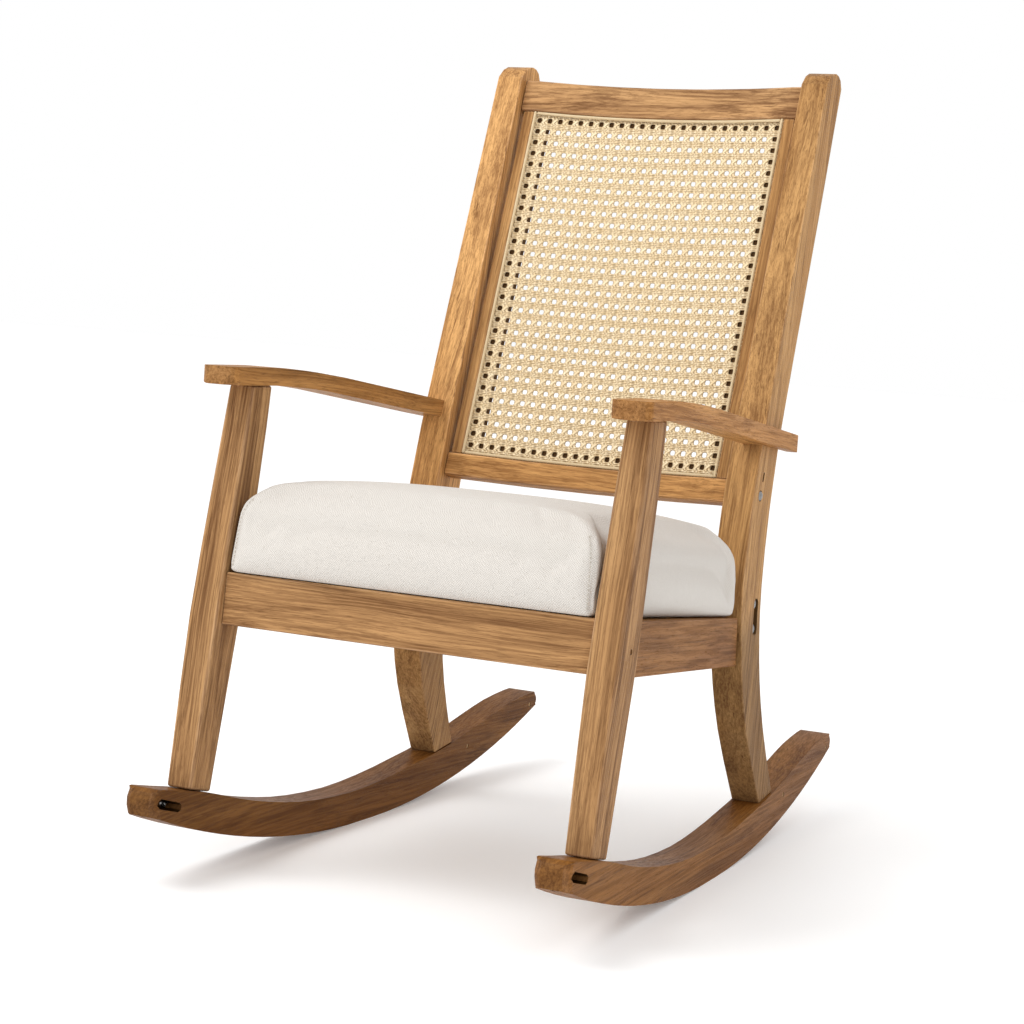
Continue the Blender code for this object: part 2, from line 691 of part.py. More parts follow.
spline_y = CANE_SET - CANE_THICK / 2 - SPLINE_DEPTH / 2 - GAP
for label, z in (("lower", SPLINE_WIDTH / 2 + 0.0006),
                 ("upper", BACK_OPENING - SPLINE_WIDTH / 2 - 0.0008)):
    bead = add_part("cane_spline_" + label,
                    bowed_bar((2 * field - 2 * SPLINE_WIDTH - 4 * GAP, SPLINE_DEPTH, SPLINE_WIDTH),
                              (0, spline_y, z), dip=CREST_DIP if label == "upper" else 0.0),
                    "spline_reed", frame=back)
    soften(bead, 0.0012, 1)
for side, s in SIDES:
    length = BACK_OPENING - 0.0020
    x = field - SPLINE_WIDTH / 2
    bead = add_part("cane_spline_" + side, block((SPLINE_WIDTH, SPLINE_DEPTH, length)),
                    "spline_reed", frame=back,
                    location=(s * x, bow(x) + spline_y - 0.0007, BACK_OPENING / 2))
    soften(bead, 0.0012, 1)


# ---------------------------------------------------------------- fastenings
def profile_mesh(profile):
    """Open profile of a turned piece: (radius, z) points that begin and end on the axis."""
    mesh = bpy.data.meshes.new("profile")
    work = bmesh.new()
    line = [work.verts.new((r, 0.0, z)) for r, z in profile]
    for pair in zip(line, line[1:]):
        work.edges.new(pair)
    work.to_mesh(mesh)
    work.free()
    return mesh


def turn_on_axis(piece, segments):
    made = piece.modifiers.new("turned", "SCREW")
    made.axis = "Z"
    made.steps = segments
    made.render_steps = segments
    made.use_merge_vertices = True
    made.merge_threshold = 0.00001
    made.use_smooth_shade = True


def turned_part(name, mesh, look, place, segments=16):
    made = bpy.data.objects.new(name, mesh)
    made.matrix_world = place
    if not mesh.materials:
        mesh.materials.append(material(look))
    PARTS.objects.link(made)
    turn_on_axis(made, segments)
    return made


def bolt_profile(length, head, shank, height):
    """Domed head with a plain shank; the head faces +Z and its underside lies at z = 0."""
    return profile_mesh([(0.0, height), (head * 0.55, height * 0.92), (head * 0.88, height * 0.55),
                         (head, 0.0004), (head, 0.0), (shank, 0.0), (shank, -length),
                         (0.0, -length)])


def peg_profile(radius, low, high):
    return profile_mesh([(0.0, high), (radius, high), (radius, low), (0.0, low)])


def facing(spot, s):
    """Place something drawn along +Z so that it points to the left (s = 1) or right side."""
    return Matrix.Translation(spot) @ Matrix.Rotation(s * math.pi / 2, 4, "Y")


def outer_face(height):
    return post_shift(height) + at(POST_WIDTHS, height) / 2


seat_bolt = bolt_profile(0.066, 0.0078, 0.0030, 0.0040)
back_bolt = bolt_profile(0.064, 0.0068, 0.0030, 0.0040)
arm_dowel = peg_profile(DOWEL_RADIUS, -0.0150, 0.0150)
pocket_screw = bolt_profile(0.055, 0.0042, 0.0022, 0.0025)
slat_screw = profile_mesh([(0.0, 0.0022), (0.0036, 0.0022), (0.0036, 0.0), (0.0019, 0.0),
                           (0.0019, -0.022), (0.0, -0.022)])
slat_hole = profile_mesh([(0.0, 0.006), (0.0042, 0.006), (0.0042, -0.0003), (0.0023, -0.0003),
                          (0.0023, -0.0235), (0.0, -0.0235)])
rocker_pin = peg_profile(PIN_RADIUS, -ROCKER_WIDTH / 2 + 0.0006, ROCKER_WIDTH / 2 - 0.0006)
leg_plug = peg_profile(PIN_RADIUS, -0.0030, 0.0022)

for side, s in SIDES:
    post, arm, rocker, leg = posts[side], arms[side], rockers[side], legs[side]
    # two bolts from each post into the end of the rear seat rail
    middle = REAR_RAIL_RISE - RAIL_HEIGHT / 2
    for label, rise in (("upper", SEAT_BOLT_SPREAD / 2), ("lower", -SEAT_BOLT_SPREAD / 2)):
        spot = seat_spot(0.0, REAR_RAIL_Y, middle + rise)
        head = Vector((s * (outer_face(spot.z) - SEAT_BOLT_SUNK), spot.y, spot.z))
        tag = "rear_rail_bolt_%s_%s" % (label, side)
        turned_part(tag, seat_bolt, "steel", facing(head, s), 20)
        bore(post, Matrix.Translation(head + Vector((s * BOLT_POCKET_OUT, 0, 0))), SEAT_BOLT_POCKET,
             BOLT_POCKET_DEEP, tag + "_seat")
        bore(post, Matrix.Translation(head), BOLT_HOLE, BOLT_REACH, tag + "_hole", "X", 12)
        bore(rear_rail, Matrix.Translation(head - Vector((s * 0.045, 0, 0))), BOLT_HOLE, BOLT_REACH / 2,
             tag + "_rail", "X", 12)
    # the two head pockets run together into one slot with round ends
    spot = seat_spot(0.0, REAR_RAIL_Y, middle)
    face = outer_face(spot.z) - SEAT_BOLT_SUNK + BOLT_POCKET_OUT
    place = Matrix.Translation((s * face, spot.y, spot.z)) @ turn
    slot = block((BOLT_POCKET_DEEP, 2 * SEAT_BOLT_POCKET - 0.0004, SEAT_BOLT_SPREAD))
    boolean(post, cutter("rear_rail_slot_" + side, slot, place), "DIFFERENCE")
    # one bolt from each post into the end of the lower back rail
    spot = back_spot(0.0, RAIL_MIDDLE_Y, -LOWER_RAIL_HEIGHT / 2)
    head = Vector((s * (outer_face(spot.z) - BACK_BOLT_SUNK), spot.y, spot.z))
    tag = "back_rail_bolt_" + side
    turned_part(tag, back_bolt, "steel", facing(head, s), 20)
    bore(post, Matrix.Translation(head + Vector((s * BOLT_POCKET_OUT, 0, 0))), BACK_BOLT_POCKET,
         BOLT_POCKET_DEEP, tag + "_seat")
    bore(post, Matrix.Translation(head), BOLT_HOLE, BOLT_REACH, tag + "_hole", "X", 12)
    bore(lower_rail, Matrix.Translation(head - Vector((s * 0.045, 0, 0))), BOLT_HOLE, BOLT_REACH / 2,
         tag + "_rail", "X", 12)
    # slot above the bolt
    spot = back_spot(0.0, RAIL_MIDDLE_Y, 0.0100)
    place = Matrix.Translation((s * outer_face(spot.z), spot.y, spot.z)) @ lean
    boolean(post, cutter("post_slot_" + side, block((0.006, 0.0045, 0.013)), place),
            "DIFFERENCE")

    # cross dowel that locks the arm to the outer face of the post
    spot = Vector((s * (post_shift(0.577) + 0.0205), 0.172, 0.5770))
    turned_part("arm_dowel_" + side, arm_dowel, "oak_hidden", facing(spot, s), 14)
    for piece in (post, arm):
        bore(piece, Matrix.Translation(spot), DOWEL_RADIUS + GAP, 0.0306,
             "arm_dowel_hole_%s_%s" % (piece.name[:4], side))

    # pocket at the rocker's front with the screw that draws the leg down
    along = Matrix.Translation((s * ROCKER_X, 0, 0)) @ Matrix.Rotation(s * ROCKER_TOE, 4, "Z")
    boolean(rocker, cutter("pocket_" + side, board(POCKET, 0.070), along), "DIFFERENCE")
    head = along @ Matrix.Translation((0, -0.4885, 0.0950))
    drive = head @ Matrix.Rotation(math.radians(12), 4, "X")
    turned_part("rocker_screw_" + side, pocket_screw, "steel",
                drive @ Matrix.Rotation(math.pi / 2, 4, "X"), 16)
    for piece in (rocker, leg):
        bore(piece, drive, 0.0027, 0.120, "pocket_screw_hole_%s_%s" % (piece.name[:4], side),
             "Y", 12)

    # cross pins through the rocker and a plug on the outer face of the leg
    for label, y, z in (("heel", 0.2930, 0.0610), ("tail", 0.5080, 0.0985)):
        place = along @ Matrix.Translation((0, y, z)) @ Matrix.Rotation(math.pi / 2, 4, "Y")
        turned_part("rocker_pin_%s_%s" % (label, side), rocker_pin, "oak_dark", place, 14)
        bore(rocker, place, PIN_RADIUS + GAP, 0.080, "rocker_pin_hole_%s_%s" % (label, side),
             "Z", 14)
    place = facing(Vector((s * (LEG_X + 0.0200 - 0.0030), -0.3900, 0.3400)), s)
    turned_part("leg_plug_" + side, leg_plug, "oak_dark", place, 14)
    bore(leg, place, PIN_RADIUS + GAP, 0.0068, "leg_plug_hole_" + side, "Z", 14)

    # the three middle slats are screwed to the cleats
    for number, y in enumerate(slat_ys, 1):
        if not 0.13 < y < 0.37:
            continue
        x = side_centre(y) - RAIL_THICK / 2 - CLEAT / 2 - 2 * GAP
        place = seat_matrix @ Matrix.Translation((s * x, y, slat_top - 0.0030))
        tag = "slat_screw_%d_%s" % (number, side)
        turned_part(tag, slat_screw, "steel", place, 12)
        for name in ("seat_slat_%d" % number, "seat_cleat_" + side):
            tool = cutter("%s_in_%s" % (tag, name[5:10]), slat_hole, place)
            turn_on_axis(tool, 12)
            boolean(bpy.data.objects[name], tool, "DIFFERENCE")


# ---------------------------------------------------------------- loose cushion
def cushion_half(y):
    """Half width of the cushion: narrow between the legs, wide over the rails."""
    share = (y - CUSHION_NECK[0]) / (CUSHION_NECK[1] - CUSHION_NECK[0])
    share = min(max(share, 0.0), 1.0)
    return CUSHION_FRONT_HALF + (CUSHION_HALF - CUSHION_FRONT_HALF) * share ** 2 * (3 - 2 * share)


def cushion_mesh():
    mesh = bpy.data.meshes.new("cushion")
    work = bmesh.new()
    middle = (CUSHION_FRONT + CUSHION_REAR) / 2
    size = (2.0, CUSHION_REAR - CUSHION_FRONT, CUSHION_THICK)
    place = Matrix.Translation((0, middle, 0.0006 + CUSHION_THICK / 2))
    bmesh.ops.create_cube(work, size=1.0, matrix=place @ Matrix.Diagonal((*size, 1.0)))
    for i in range(7):
        y = CUSHION_NECK[0] + (CUSHION_NECK[1] - CUSHION_NECK[0]) * i / 6
        geom = work.verts[:] + work.edges[:] + work.faces[:]
        bmesh.ops.bisect_plane(work, geom=geom, plane_co=(0, y, 0), plane_no=(0, 1, 0))
    for vertex in work.verts:
        vertex.co.x *= cushion_half(vertex.co.y)
    work.to_mesh(mesh)
    work.free()
    return mesh


cushion = add_part("seat_cushion", cushion_mesh(), "linen", frame=seat)
soften(cushion, 0.030, 4)

for piece in PARTS.objects:
    if piece.type == "MESH" and "turned" not in piece.modifiers:
        smooth_sides(piece)
print("pieces:", sum(1 for piece in PARTS.objects if piece.type == "MESH"))
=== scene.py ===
# %% [markdown]
# # An oak rocking chair with a woven cane back and a linen cushion
# The chair's joinery is already modelled: every board, bolt and pin is a solid of its own. This lesson
# gives those solids their finish, weaves the cane, sews the cushion and sets up a small photographic
# studio. The frame is loaded first.

# %% Load the frame
from math import atan, pi, radians

import bmesh
import bpy
import numpy as np
from mathutils import Matrix, Vector
from mathutils.bvhtree import BVHTree


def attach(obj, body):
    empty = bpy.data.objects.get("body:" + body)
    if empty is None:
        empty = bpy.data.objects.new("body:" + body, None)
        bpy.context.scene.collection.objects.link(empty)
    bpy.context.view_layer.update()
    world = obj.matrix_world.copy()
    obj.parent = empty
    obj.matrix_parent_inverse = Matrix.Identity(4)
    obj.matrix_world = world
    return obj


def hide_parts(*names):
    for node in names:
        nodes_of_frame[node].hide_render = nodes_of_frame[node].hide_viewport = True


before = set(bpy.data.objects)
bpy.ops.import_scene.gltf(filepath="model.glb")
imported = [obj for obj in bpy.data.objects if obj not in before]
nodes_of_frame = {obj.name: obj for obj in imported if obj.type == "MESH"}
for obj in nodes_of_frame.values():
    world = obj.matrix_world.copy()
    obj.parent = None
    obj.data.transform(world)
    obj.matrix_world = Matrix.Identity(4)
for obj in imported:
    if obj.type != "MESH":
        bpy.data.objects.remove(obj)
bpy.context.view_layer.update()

# %% [markdown]
# The camera stands in front of the chair, a little to its left and at about the height of the arms. A
# long lens keeps the back and the feet from spreading apart. The three directions below are the camera's
# own right, up and backward axes, which together make its rotation.

# %% Camera
CAMERA_PLACE = Vector((1.21901, -2.83464, 0.71186))
CAMERA_RIGHT = Vector((0.90802, 0.41305, 0.06986))
CAMERA_UP = Vector((-0.09829, 0.04795, 0.99400))
LENS = 80.859

camera_back = CAMERA_RIGHT.cross(CAMERA_UP).normalized()
camera_up = camera_back.cross(CAMERA_RIGHT).normalized()
turn = Matrix((CAMERA_RIGHT.normalized(), camera_up, camera_back)).transposed()
camera_data = bpy.data.cameras.new("studio_camera")
camera_data.lens = LENS
camera_data.sensor_width = 36.0
camera_data.clip_end = 60.0
camera = bpy.data.objects.new("studio_camera", camera_data)
camera.matrix_world = Matrix.Translation(CAMERA_PLACE) @ turn.to_4x4()
bpy.context.scene.collection.objects.link(camera)
bpy.context.scene.camera = camera
print("camera at", list(CAMERA_PLACE), "lens", LENS)

# %% [markdown]
# A material in this lesson is a list of nodes and the wires between them. The small helper below adds one
# node, sets its properties and connects its inputs in a single line, so that each finish reads from top
# to bottom like a recipe.

# %% Helpers for node trees


def node(tree, kind, inputs=None, **settings):
    """Adds a node. Each input is a value, or another node's output to connect."""
    made = tree.nodes.new(kind)
    for name, value in settings.items():
        setattr(made, name, value)
    for key, value in (inputs or {}).items():
        socket = made.inputs[key]
        if isinstance(value, bpy.types.NodeSocket):
            tree.links.new(value, socket)
        else:
            socket.default_value = value
    return made


def calc(tree, operation, *values):
    """The output of a Math node."""
    return node(tree, "ShaderNodeMath", dict(enumerate(values)), operation=operation).outputs[0]


def blend_colours(tree, factor, first, second):
    """The colour output of a Mix node set to colours."""
    made = node(tree, "ShaderNodeMix", data_type="RGBA", clamp_factor=True)
    for socket, value in ((made.inputs[0], factor), (made.inputs[6], first), (made.inputs[7], second)):
        if isinstance(value, bpy.types.NodeSocket):
            tree.links.new(value, socket)
        else:
            socket.default_value = value
    return made.outputs[2]


def fade(tree, value, start, end, low=0.0, high=1.0):
    """A value carried smoothly from low at start to high at end."""
    made = node(tree, "ShaderNodeMapRange", {0: value, 1: start, 2: end, 3: low, 4: high},
                interpolation_type="SMOOTHSTEP")
    return made.outputs[0]


def stretched_noise(tree, vector, scale, detail=2.0, roughness=0.5, distortion=0.0):
    """Noise whose grains are scaled separately along the three axes."""
    moved = node(tree, "ShaderNodeVectorMath", {0: vector, 1: scale}, operation="MULTIPLY")
    made = node(tree, "ShaderNodeTexNoise", {"Vector": moved.outputs[0], "Scale": 1.0, "Detail": detail,
                                             "Roughness": roughness, "Distortion": distortion})
    return made.outputs["Fac"]


def new_group(name, inputs, outputs):
    """An empty shader group with named sockets, and its two end nodes."""
    group = bpy.data.node_groups.new(name, "ShaderNodeTree")
    for label, kind, value in inputs:
        socket = group.interface.new_socket(name=label, in_out="INPUT", socket_type=kind)
        if value is not None:
            socket.default_value = value
    for label, kind in outputs:
        group.interface.new_socket(name=label, in_out="OUTPUT", socket_type=kind)
    return group, group.nodes.new("NodeGroupInput"), group.nodes.new("NodeGroupOutput")


def new_material(name, colour):
    """A material with its tree, its Principled BSDF and the colour shown in the viewport."""
    made = bpy.data.materials.new(name)
    made.use_nodes = True
    made.diffuse_color = (*colour, 1.0)
    return made, made.node_tree, made.node_tree.nodes["Principled BSDF"]


def use_group(tree, group, inputs):
    """Places a shader group in a material."""
    made = tree.nodes.new("ShaderNodeGroup")
    made.node_tree = group
    for key, value in inputs.items():
        if isinstance(value, bpy.types.NodeSocket):
            tree.links.new(value, made.inputs[key])
        else:
            made.inputs[key].default_value = value
    return made


FLOAT, COLOUR = "NodeSocketFloat", "NodeSocketColor"
print("helpers for node trees are ready")

# %% [markdown]
# Oak is a bundle of long fibres. Wherever a board is cut along them they show as streaks, and across them
# as fine dots, so one three-dimensional noise that is stretched along the board gives both faces and
# ends. The group below mixes such noises: broad bands from the growth rings, fine streaks, darker veins,
# short pores and a slow drift of tone. It reads the board's own grain coordinates, which each piece
# carries as an attribute. A second attribute says where the edges were eased, which turn lighter from
# wear and a painted highlight, where end grain shows, how light this board is and, in its fourth channel,
# a painted shade that darkens faces inside a pocket and the back posts below the seat.

# %% Oak figure as a shader group
TONE_SCALE = 2.0
VEIN_COLOUR = (0.105, 0.040, 0.012, 1)
PORE_COLOUR = (0.100, 0.040, 0.014, 1)


def make_oak_group():
    group, ends, out = new_group(
        "oak_figure",
        [("Pale", COLOUR, (0.6, 0.4, 0.2, 1)), ("Dark", COLOUR, (0.3, 0.16, 0.07, 1)),
         ("Streaks", FLOAT, 0.6), ("Polish", FLOAT, 0.42)],
        [("Colour", COLOUR), ("Roughness", FLOAT), ("Height", FLOAT)])
    grain = node(group, "ShaderNodeAttribute", attribute_name="grain").outputs["Vector"]
    finish = node(group, "ShaderNodeAttribute", attribute_name="finish").outputs
    parts = node(group, "ShaderNodeSeparateColor", {0: finish["Color"]}).outputs
    edge, end_grain, tone, light = parts[0], parts[1], parts[2], finish["Alpha"]
    warp = stretched_noise(group, grain, (1.6, 9.0, 9.0), 2.0)
    shift = calc(group, "MULTIPLY", calc(group, "SUBTRACT", warp, 0.5), 0.045)
    bent = node(group, "ShaderNodeVectorMath",
                {0: grain, 1: node(group, "ShaderNodeCombineXYZ", {1: shift, 2: shift}).outputs[0]},
                operation="ADD").outputs[0]
    rings = stretched_noise(group, bent, (1.7, 42.0, 66.0), 3.0, 0.62, 0.5)
    streak = stretched_noise(group, bent, (4.6, 290.0, 360.0), 4.0, 0.68)
    pores = stretched_noise(group, bent, (38.0, 1100.0, 1100.0), 2.0, 0.6)
    drift = stretched_noise(group, grain, (2.0, 12.0, 12.0), 1.0)
    band = fade(group, rings, 0.38, 0.66)
    fine = fade(group, streak, 0.38, 0.62)
    flecks = fade(group, pores, 0.55, 0.66)
    depth = calc(group, "ADD", calc(group, "MULTIPLY", band, 0.45), calc(group, "MULTIPLY", fine, 0.50))
    depth = calc(group, "MULTIPLY", depth, ends.outputs["Streaks"])
    colour = blend_colours(group, depth, ends.outputs["Pale"], ends.outputs["Dark"])
    golden = node(group, "ShaderNodeHueSaturation",
                  {"Hue": 0.503, "Saturation": 0.97, "Value": 1.14, "Color": colour}).outputs[0]
    colour = blend_colours(group, fade(group, drift, 0.42, 0.62), colour, golden)
    veins = stretched_noise(group, bent, (2.6, 150.0, 190.0), 3.0, 0.7)
    colour = blend_colours(group, fade(group, veins, 0.60, 0.68, 0.0, 0.60), colour, VEIN_COLOUR)
    colour = blend_colours(group, calc(group, "MULTIPLY", flecks, 0.42), colour, PORE_COLOUR)
    across = node(group, "ShaderNodeHueSaturation",
                  {"Saturation": 0.96, "Value": 0.86, "Color": colour}).outputs[0]
    colour = blend_colours(group, calc(group, "MULTIPLY", end_grain, 0.9), colour, across)
    # Eased edges turn lighter: partly wear and partly a painted highlight along the softened edges.
    wear_and_highlight = node(group, "ShaderNodeHueSaturation",
                {"Saturation": 0.92, "Value": 1.20, "Color": colour}).outputs[0]
    wear_and_highlight_mask = calc(group, "MULTIPLY", edge, fade(group, stretched_noise(group, grain, (30.0, 90.0, 90.0)),
                                                0.30, 0.62, 0.25, 0.85))
    colour = blend_colours(group, wear_and_highlight_mask, colour, wear_and_highlight)
    # The fourth channel is a painted shade that darkens pockets and the back posts below the seat.
    value = calc(group, "MULTIPLY", calc(group, "MULTIPLY", tone, TONE_SCALE), light)
    toned = node(group, "ShaderNodeHueSaturation",
                 {"Value": value, "Color": colour}).outputs[0]
    rough = calc(group, "ADD", ends.outputs["Polish"], calc(group, "MULTIPLY", fine, 0.10))
    rough = calc(group, "ADD", rough, calc(group, "MULTIPLY", flecks, 0.12))
    height = calc(group, "SUBTRACT", calc(group, "MULTIPLY", streak, 0.55),
                  calc(group, "MULTIPLY", flecks, 0.7))
    group.links.new(toned, out.inputs["Colour"])
    group.links.new(rough, out.inputs["Roughness"])
    group.links.new(height, out.inputs["Height"])
    return group


OAK_FIGURE = make_oak_group()
print("oak figure group:", len(OAK_FIGURE.nodes), "nodes")

# %% [markdown]
# The same oak is used with several tones: pale boards in the front, warm ones in the back, redder ones in
# the arms, brown ones low down, and unoiled ones under the cushion. The ledge behind the cane is nearly
# black, as painted shade behind the outer windows. All are oiled to a satin sheen. The grain has a real
# height, a few hundredths of a millimetre, which a Bump node turns into the small highlights that run
# along the fibres.

# %% Oak finishes


def oak(name, pale, dark, streaks=0.62, polish=0.40):
    made, tree, shader = new_material(name, pale)
    figure = use_group(tree, OAK_FIGURE, {"Pale": (*pale, 1), "Dark": (*dark, 1), "Streaks": streaks,
                                          "Polish": polish})
    tree.links.new(figure.outputs["Colour"], shader.inputs["Base Color"])
    tree.links.new(figure.outputs["Roughness"], shader.inputs["Roughness"])
    bump = node(tree, "ShaderNodeBump", {"Strength": 0.55, "Distance": 0.00035,
                                         "Height": figure.outputs["Height"]})
    tree.links.new(bump.outputs[0], shader.inputs["Normal"])
    shader.inputs["Specular IOR Level"].default_value = 0.06
    return made


OAK = {
    "oak_light": oak("oak_light", (0.500, 0.275, 0.116), (0.125, 0.050, 0.018), 0.95),
    "oak_warm": oak("oak_warm", (0.500, 0.262, 0.092), (0.155, 0.062, 0.018), 0.88),
    "oak_arm": oak("oak_arm", (0.545, 0.258, 0.078), (0.175, 0.064, 0.014), 0.88),
    "oak_dark": oak("oak_dark", (0.285, 0.113, 0.022), (0.088, 0.029, 0.006), 0.88),
    "oak_hidden": oak("oak_hidden", (0.440, 0.270, 0.125), (0.240, 0.125, 0.050), 0.6, 0.62),
    # Nearly black oak for the ledge behind the cane: painted shade.
    "oak_shadow": oak("oak_shadow", (0.085, 0.042, 0.016), (0.040, 0.018, 0.007), 0.6, 0.70),
}
print("oak finishes:", ", ".join(OAK))

# %% [markdown]
# Each board is copied from the frame before it is finished. The copy's triangles are joined into whole
# faces, and weighted normals then keep the broad faces flat while the eased edges turn the light. The
# direction of the grain comes from the board itself: the longest axis of its points, found by a singular
# value decomposition. Points are stored along, across and through the board, with a shift that gives
# every board a different part of the tree. A pocket is found by a ray from each face that meets another
# face of the same board close by, and its faces get a painted shade, as do the back posts below the seat.

# %% Copy and finish a board
EASED = 0.0042
SMOOTH_ANGLE = radians(38)
POCKET_WIDE = 0.022
# Painted shade: the share of colour kept by faces in a pocket, and the least share kept by the back posts
# below the seat.
POCKET_PAINTED_SHADE = 0.22
SEAT_BOTTOM = 0.345
POST_FOOT_PAINTED_SHADE = 0.58
FOOT_FADE = 0.06
END_GRAIN_FROM = 0.55
END_GRAIN_BLEND = 0.3


def merged_copy(name):
    """A copy of a frame node as a bmesh with its triangles joined into whole faces."""
    shape = bmesh.new()
    shape.from_mesh(nodes_of_frame[name].data)
    bmesh.ops.remove_doubles(shape, verts=shape.verts, dist=1e-5)
    bmesh.ops.dissolve_limit(shape, angle_limit=radians(0.8), verts=shape.verts, edges=shape.edges)
    return shape


def object_from(shape, name, material):
    """Turns a bmesh into a linked object with one material."""
    mesh = bpy.data.meshes.new(name)
    shape.to_mesh(mesh)
    shape.free()
    mesh.materials.clear()
    mesh.materials.append(material)
    made = bpy.data.objects.new(name, mesh)
    bpy.context.scene.collection.objects.link(made)
    return made


def board_axes(points):
    """The long, wide and thin directions of a board, each turned the same way every time."""
    axes = np.linalg.svd(points - points.mean(0), full_matrices=False)[2]
    for axis in axes:
        if axis[np.argmax(np.abs(axis))] < 0:
            axis *= -1
    return axes


def painted_shade_of(name, face, tree):
    """Painted shade of a face: faces in a pocket are darkened, and the back posts darken below the seat."""
    facing, distance = tree.ray_cast(face.center + face.normal * 1e-4, face.normal, POCKET_WIDE)[1::2]
    if facing and facing.dot(face.normal) < -0.5 and distance > 0.002:
        return lambda spot: POCKET_PAINTED_SHADE
    if "back_post" not in name:
        return lambda spot: 1.0
    return lambda spot: min(max(1.0 - (SEAT_BOTTOM - spot.z) / FOOT_FADE, POST_FOOT_PAINTED_SHADE), 1.0)


def lay_grain(piece, number, tone=1.0):
    """Stores the grain coordinates and the edge, end grain, tone and painted shade of each corner."""
    mesh = piece.data
    points = np.array([vertex.co for vertex in mesh.vertices])
    axes = board_axes(points)
    shift = np.array((0.731 * number, 0.217 * number % 1.9, 0.139 * number % 1.3))
    grain = mesh.attributes.new("grain", "FLOAT_VECTOR", "POINT")
    grain.data.foreach_set("vector", (points @ axes.T + shift).astype(np.float32).ravel())
    finish = mesh.attributes.new("finish", "FLOAT_COLOR", "CORNER")
    tree = BVHTree.FromPolygons([vertex.co for vertex in mesh.vertices],
                                [tuple(face.vertices) for face in mesh.polygons])
    for face in mesh.polygons:
        corners = [mesh.vertices[i].co for i in face.vertices]
        longest = max((a - b).length for a in corners for b in corners)
        eased = 1.0 if face.area / longest < EASED else 0.0
        end = abs(float(np.dot(face.normal, axes[0])))
        across = min(max((end - END_GRAIN_FROM) / END_GRAIN_BLEND, 0.0), 1.0)
        light = painted_shade_of(piece.name, face, tree)
        for loop, corner in zip(face.loop_indices, corners):
            finish.data[loop].color = (eased, across, tone / TONE_SCALE, light(corner))


def plain_mesh(piece):
    """Applies every modifier and leaves a plain mesh."""
    depsgraph = bpy.context.evaluated_depsgraph_get()
    mesh = bpy.data.meshes.new_from_object(piece.evaluated_get(depsgraph))
    piece.modifiers.clear()
    piece.data = mesh
    return piece


def smooth_finish(piece):
    """Smooth shading with sharp arrises and normals weighted by face area."""
    piece.data.shade_smooth()
    piece.data.set_sharp_from_angle(angle=SMOOTH_ANGLE)
    weights = piece.modifiers.new("weights", "WEIGHTED_NORMAL")
    weights.keep_sharp = True
    return plain_mesh(piece)


def finish_board(name, material, number, tone):
    """Replaces a frame node by its finished oak copy."""
    piece = object_from(merged_copy(name), "oak_" + name, OAK[material])
    lay_grain(piece, number, tone)
    smooth_finish(piece)
    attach(piece, "chair_frame")
    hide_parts(name)
    return piece


print("boards are eased where a face is narrower than", EASED * 1000, "mm")

# %% [markdown]
# Now every board gets its finish, and its own tone as a factor on the finish. The legs, the posts, the
# arms and the back are warm and light, the runners and the rails below the seat are browner, and the
# slats, cleats and blocks under the cushion are left unoiled.

# %% Finish every board
SIDES = ("left", "right")
BOARDS = {
    "oak_light": ["front_leg_" + side for side in SIDES] + ["front_seat_rail", "crest_rail"],
    "oak_warm": ["back_post_" + side for side in SIDES] + ["lower_back_rail"]
    + ["cane_stile_" + side for side in SIDES],
    "oak_arm": ["arm_" + side for side in SIDES],
    "oak_dark": ["rocker_" + side for side in SIDES] + ["side_seat_rail_" + side for side in SIDES]
    + ["rear_seat_rail"] + ["leg_plug_" + side for side in SIDES],
    "oak_hidden": ["seat_slat_%d" % number for number in range(1, 6)]
    + ["seat_cleat_" + side for side in SIDES] + ["arm_dowel_" + side for side in SIDES]
    + ["corner_block_%s_%s" % (place, side) for place in ("front", "rear") for side in SIDES]
    + ["rocker_pin_%s_%s" % (place, side) for place in ("heel", "tail") for side in SIDES],
}
TONES = {"front_leg_left": 0.94, "front_leg_right": 0.96, "front_seat_rail": 1.02, "crest_rail": 1.09,
         "back_post_left": 1.00, "back_post_right": 1.34, "arm_left": 0.95, "arm_right": 0.82,
         "lower_back_rail": 1.32, "rocker_left": 0.90, "rocker_right": 0.72}
count = 0
for material_name, names in BOARDS.items():
    for name in names:
        count += 1
        finish_board(name, material_name, count, TONES.get(name, 1.0))
print(count, "boards finished")

# %% [markdown]
# The bolts and screws are steel, brushed round and round on the lathe. The brushing is a fine noise and
# the roughness follows it, so that the heads do not shine as mirrors.

# %% Steel fastenings


def make_steel():
    made, tree, shader = new_material("steel", (0.62, 0.62, 0.63))
    place = node(tree, "ShaderNodeTexCoord").outputs["Object"]
    brushed = stretched_noise(tree, place, (2600.0, 2600.0, 2600.0), 2.0)
    smears = stretched_noise(tree, place, (220.0, 220.0, 220.0), 3.0)
    colour = blend_colours(tree, smears, (0.36, 0.36, 0.36, 1), (0.16, 0.15, 0.14, 1))
    tree.links.new(colour, shader.inputs["Base Color"])
    tree.links.new(fade(tree, calc(tree, "ADD", brushed, smears), 0.6, 1.4, 0.22, 0.42),
                   shader.inputs["Roughness"])
    bump = node(tree, "ShaderNodeBump", {"Strength": 0.3, "Distance": 0.00008, "Height": brushed})
    tree.links.new(bump.outputs[0], shader.inputs["Normal"])
    shader.inputs["Metallic"].default_value = 1.0
    return made


STEEL = make_steel()
FASTENINGS = [name for name in nodes_of_frame if "bolt" in name or "screw" in name]
for name in sorted(FASTENINGS):
    head = object_from(merged_copy(name), "steel_" + name, STEEL)
    smooth_finish(head)
    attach(head, "chair_frame")
    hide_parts(name)
print(len(FASTENINGS), "steel fastenings finished")

# %% [markdown]
# The back is woven from split cane. Groups of four narrow strands run up the back and across it, over one
# and under the next, and a small window is left open wherever two gaps meet. A diagonal strand passes
# each way between the windows. Everything is laid out flat first, with X across the back, Y up it and Z
# towards the sitter's face of the panel, and bent to the bow of the back at the end.

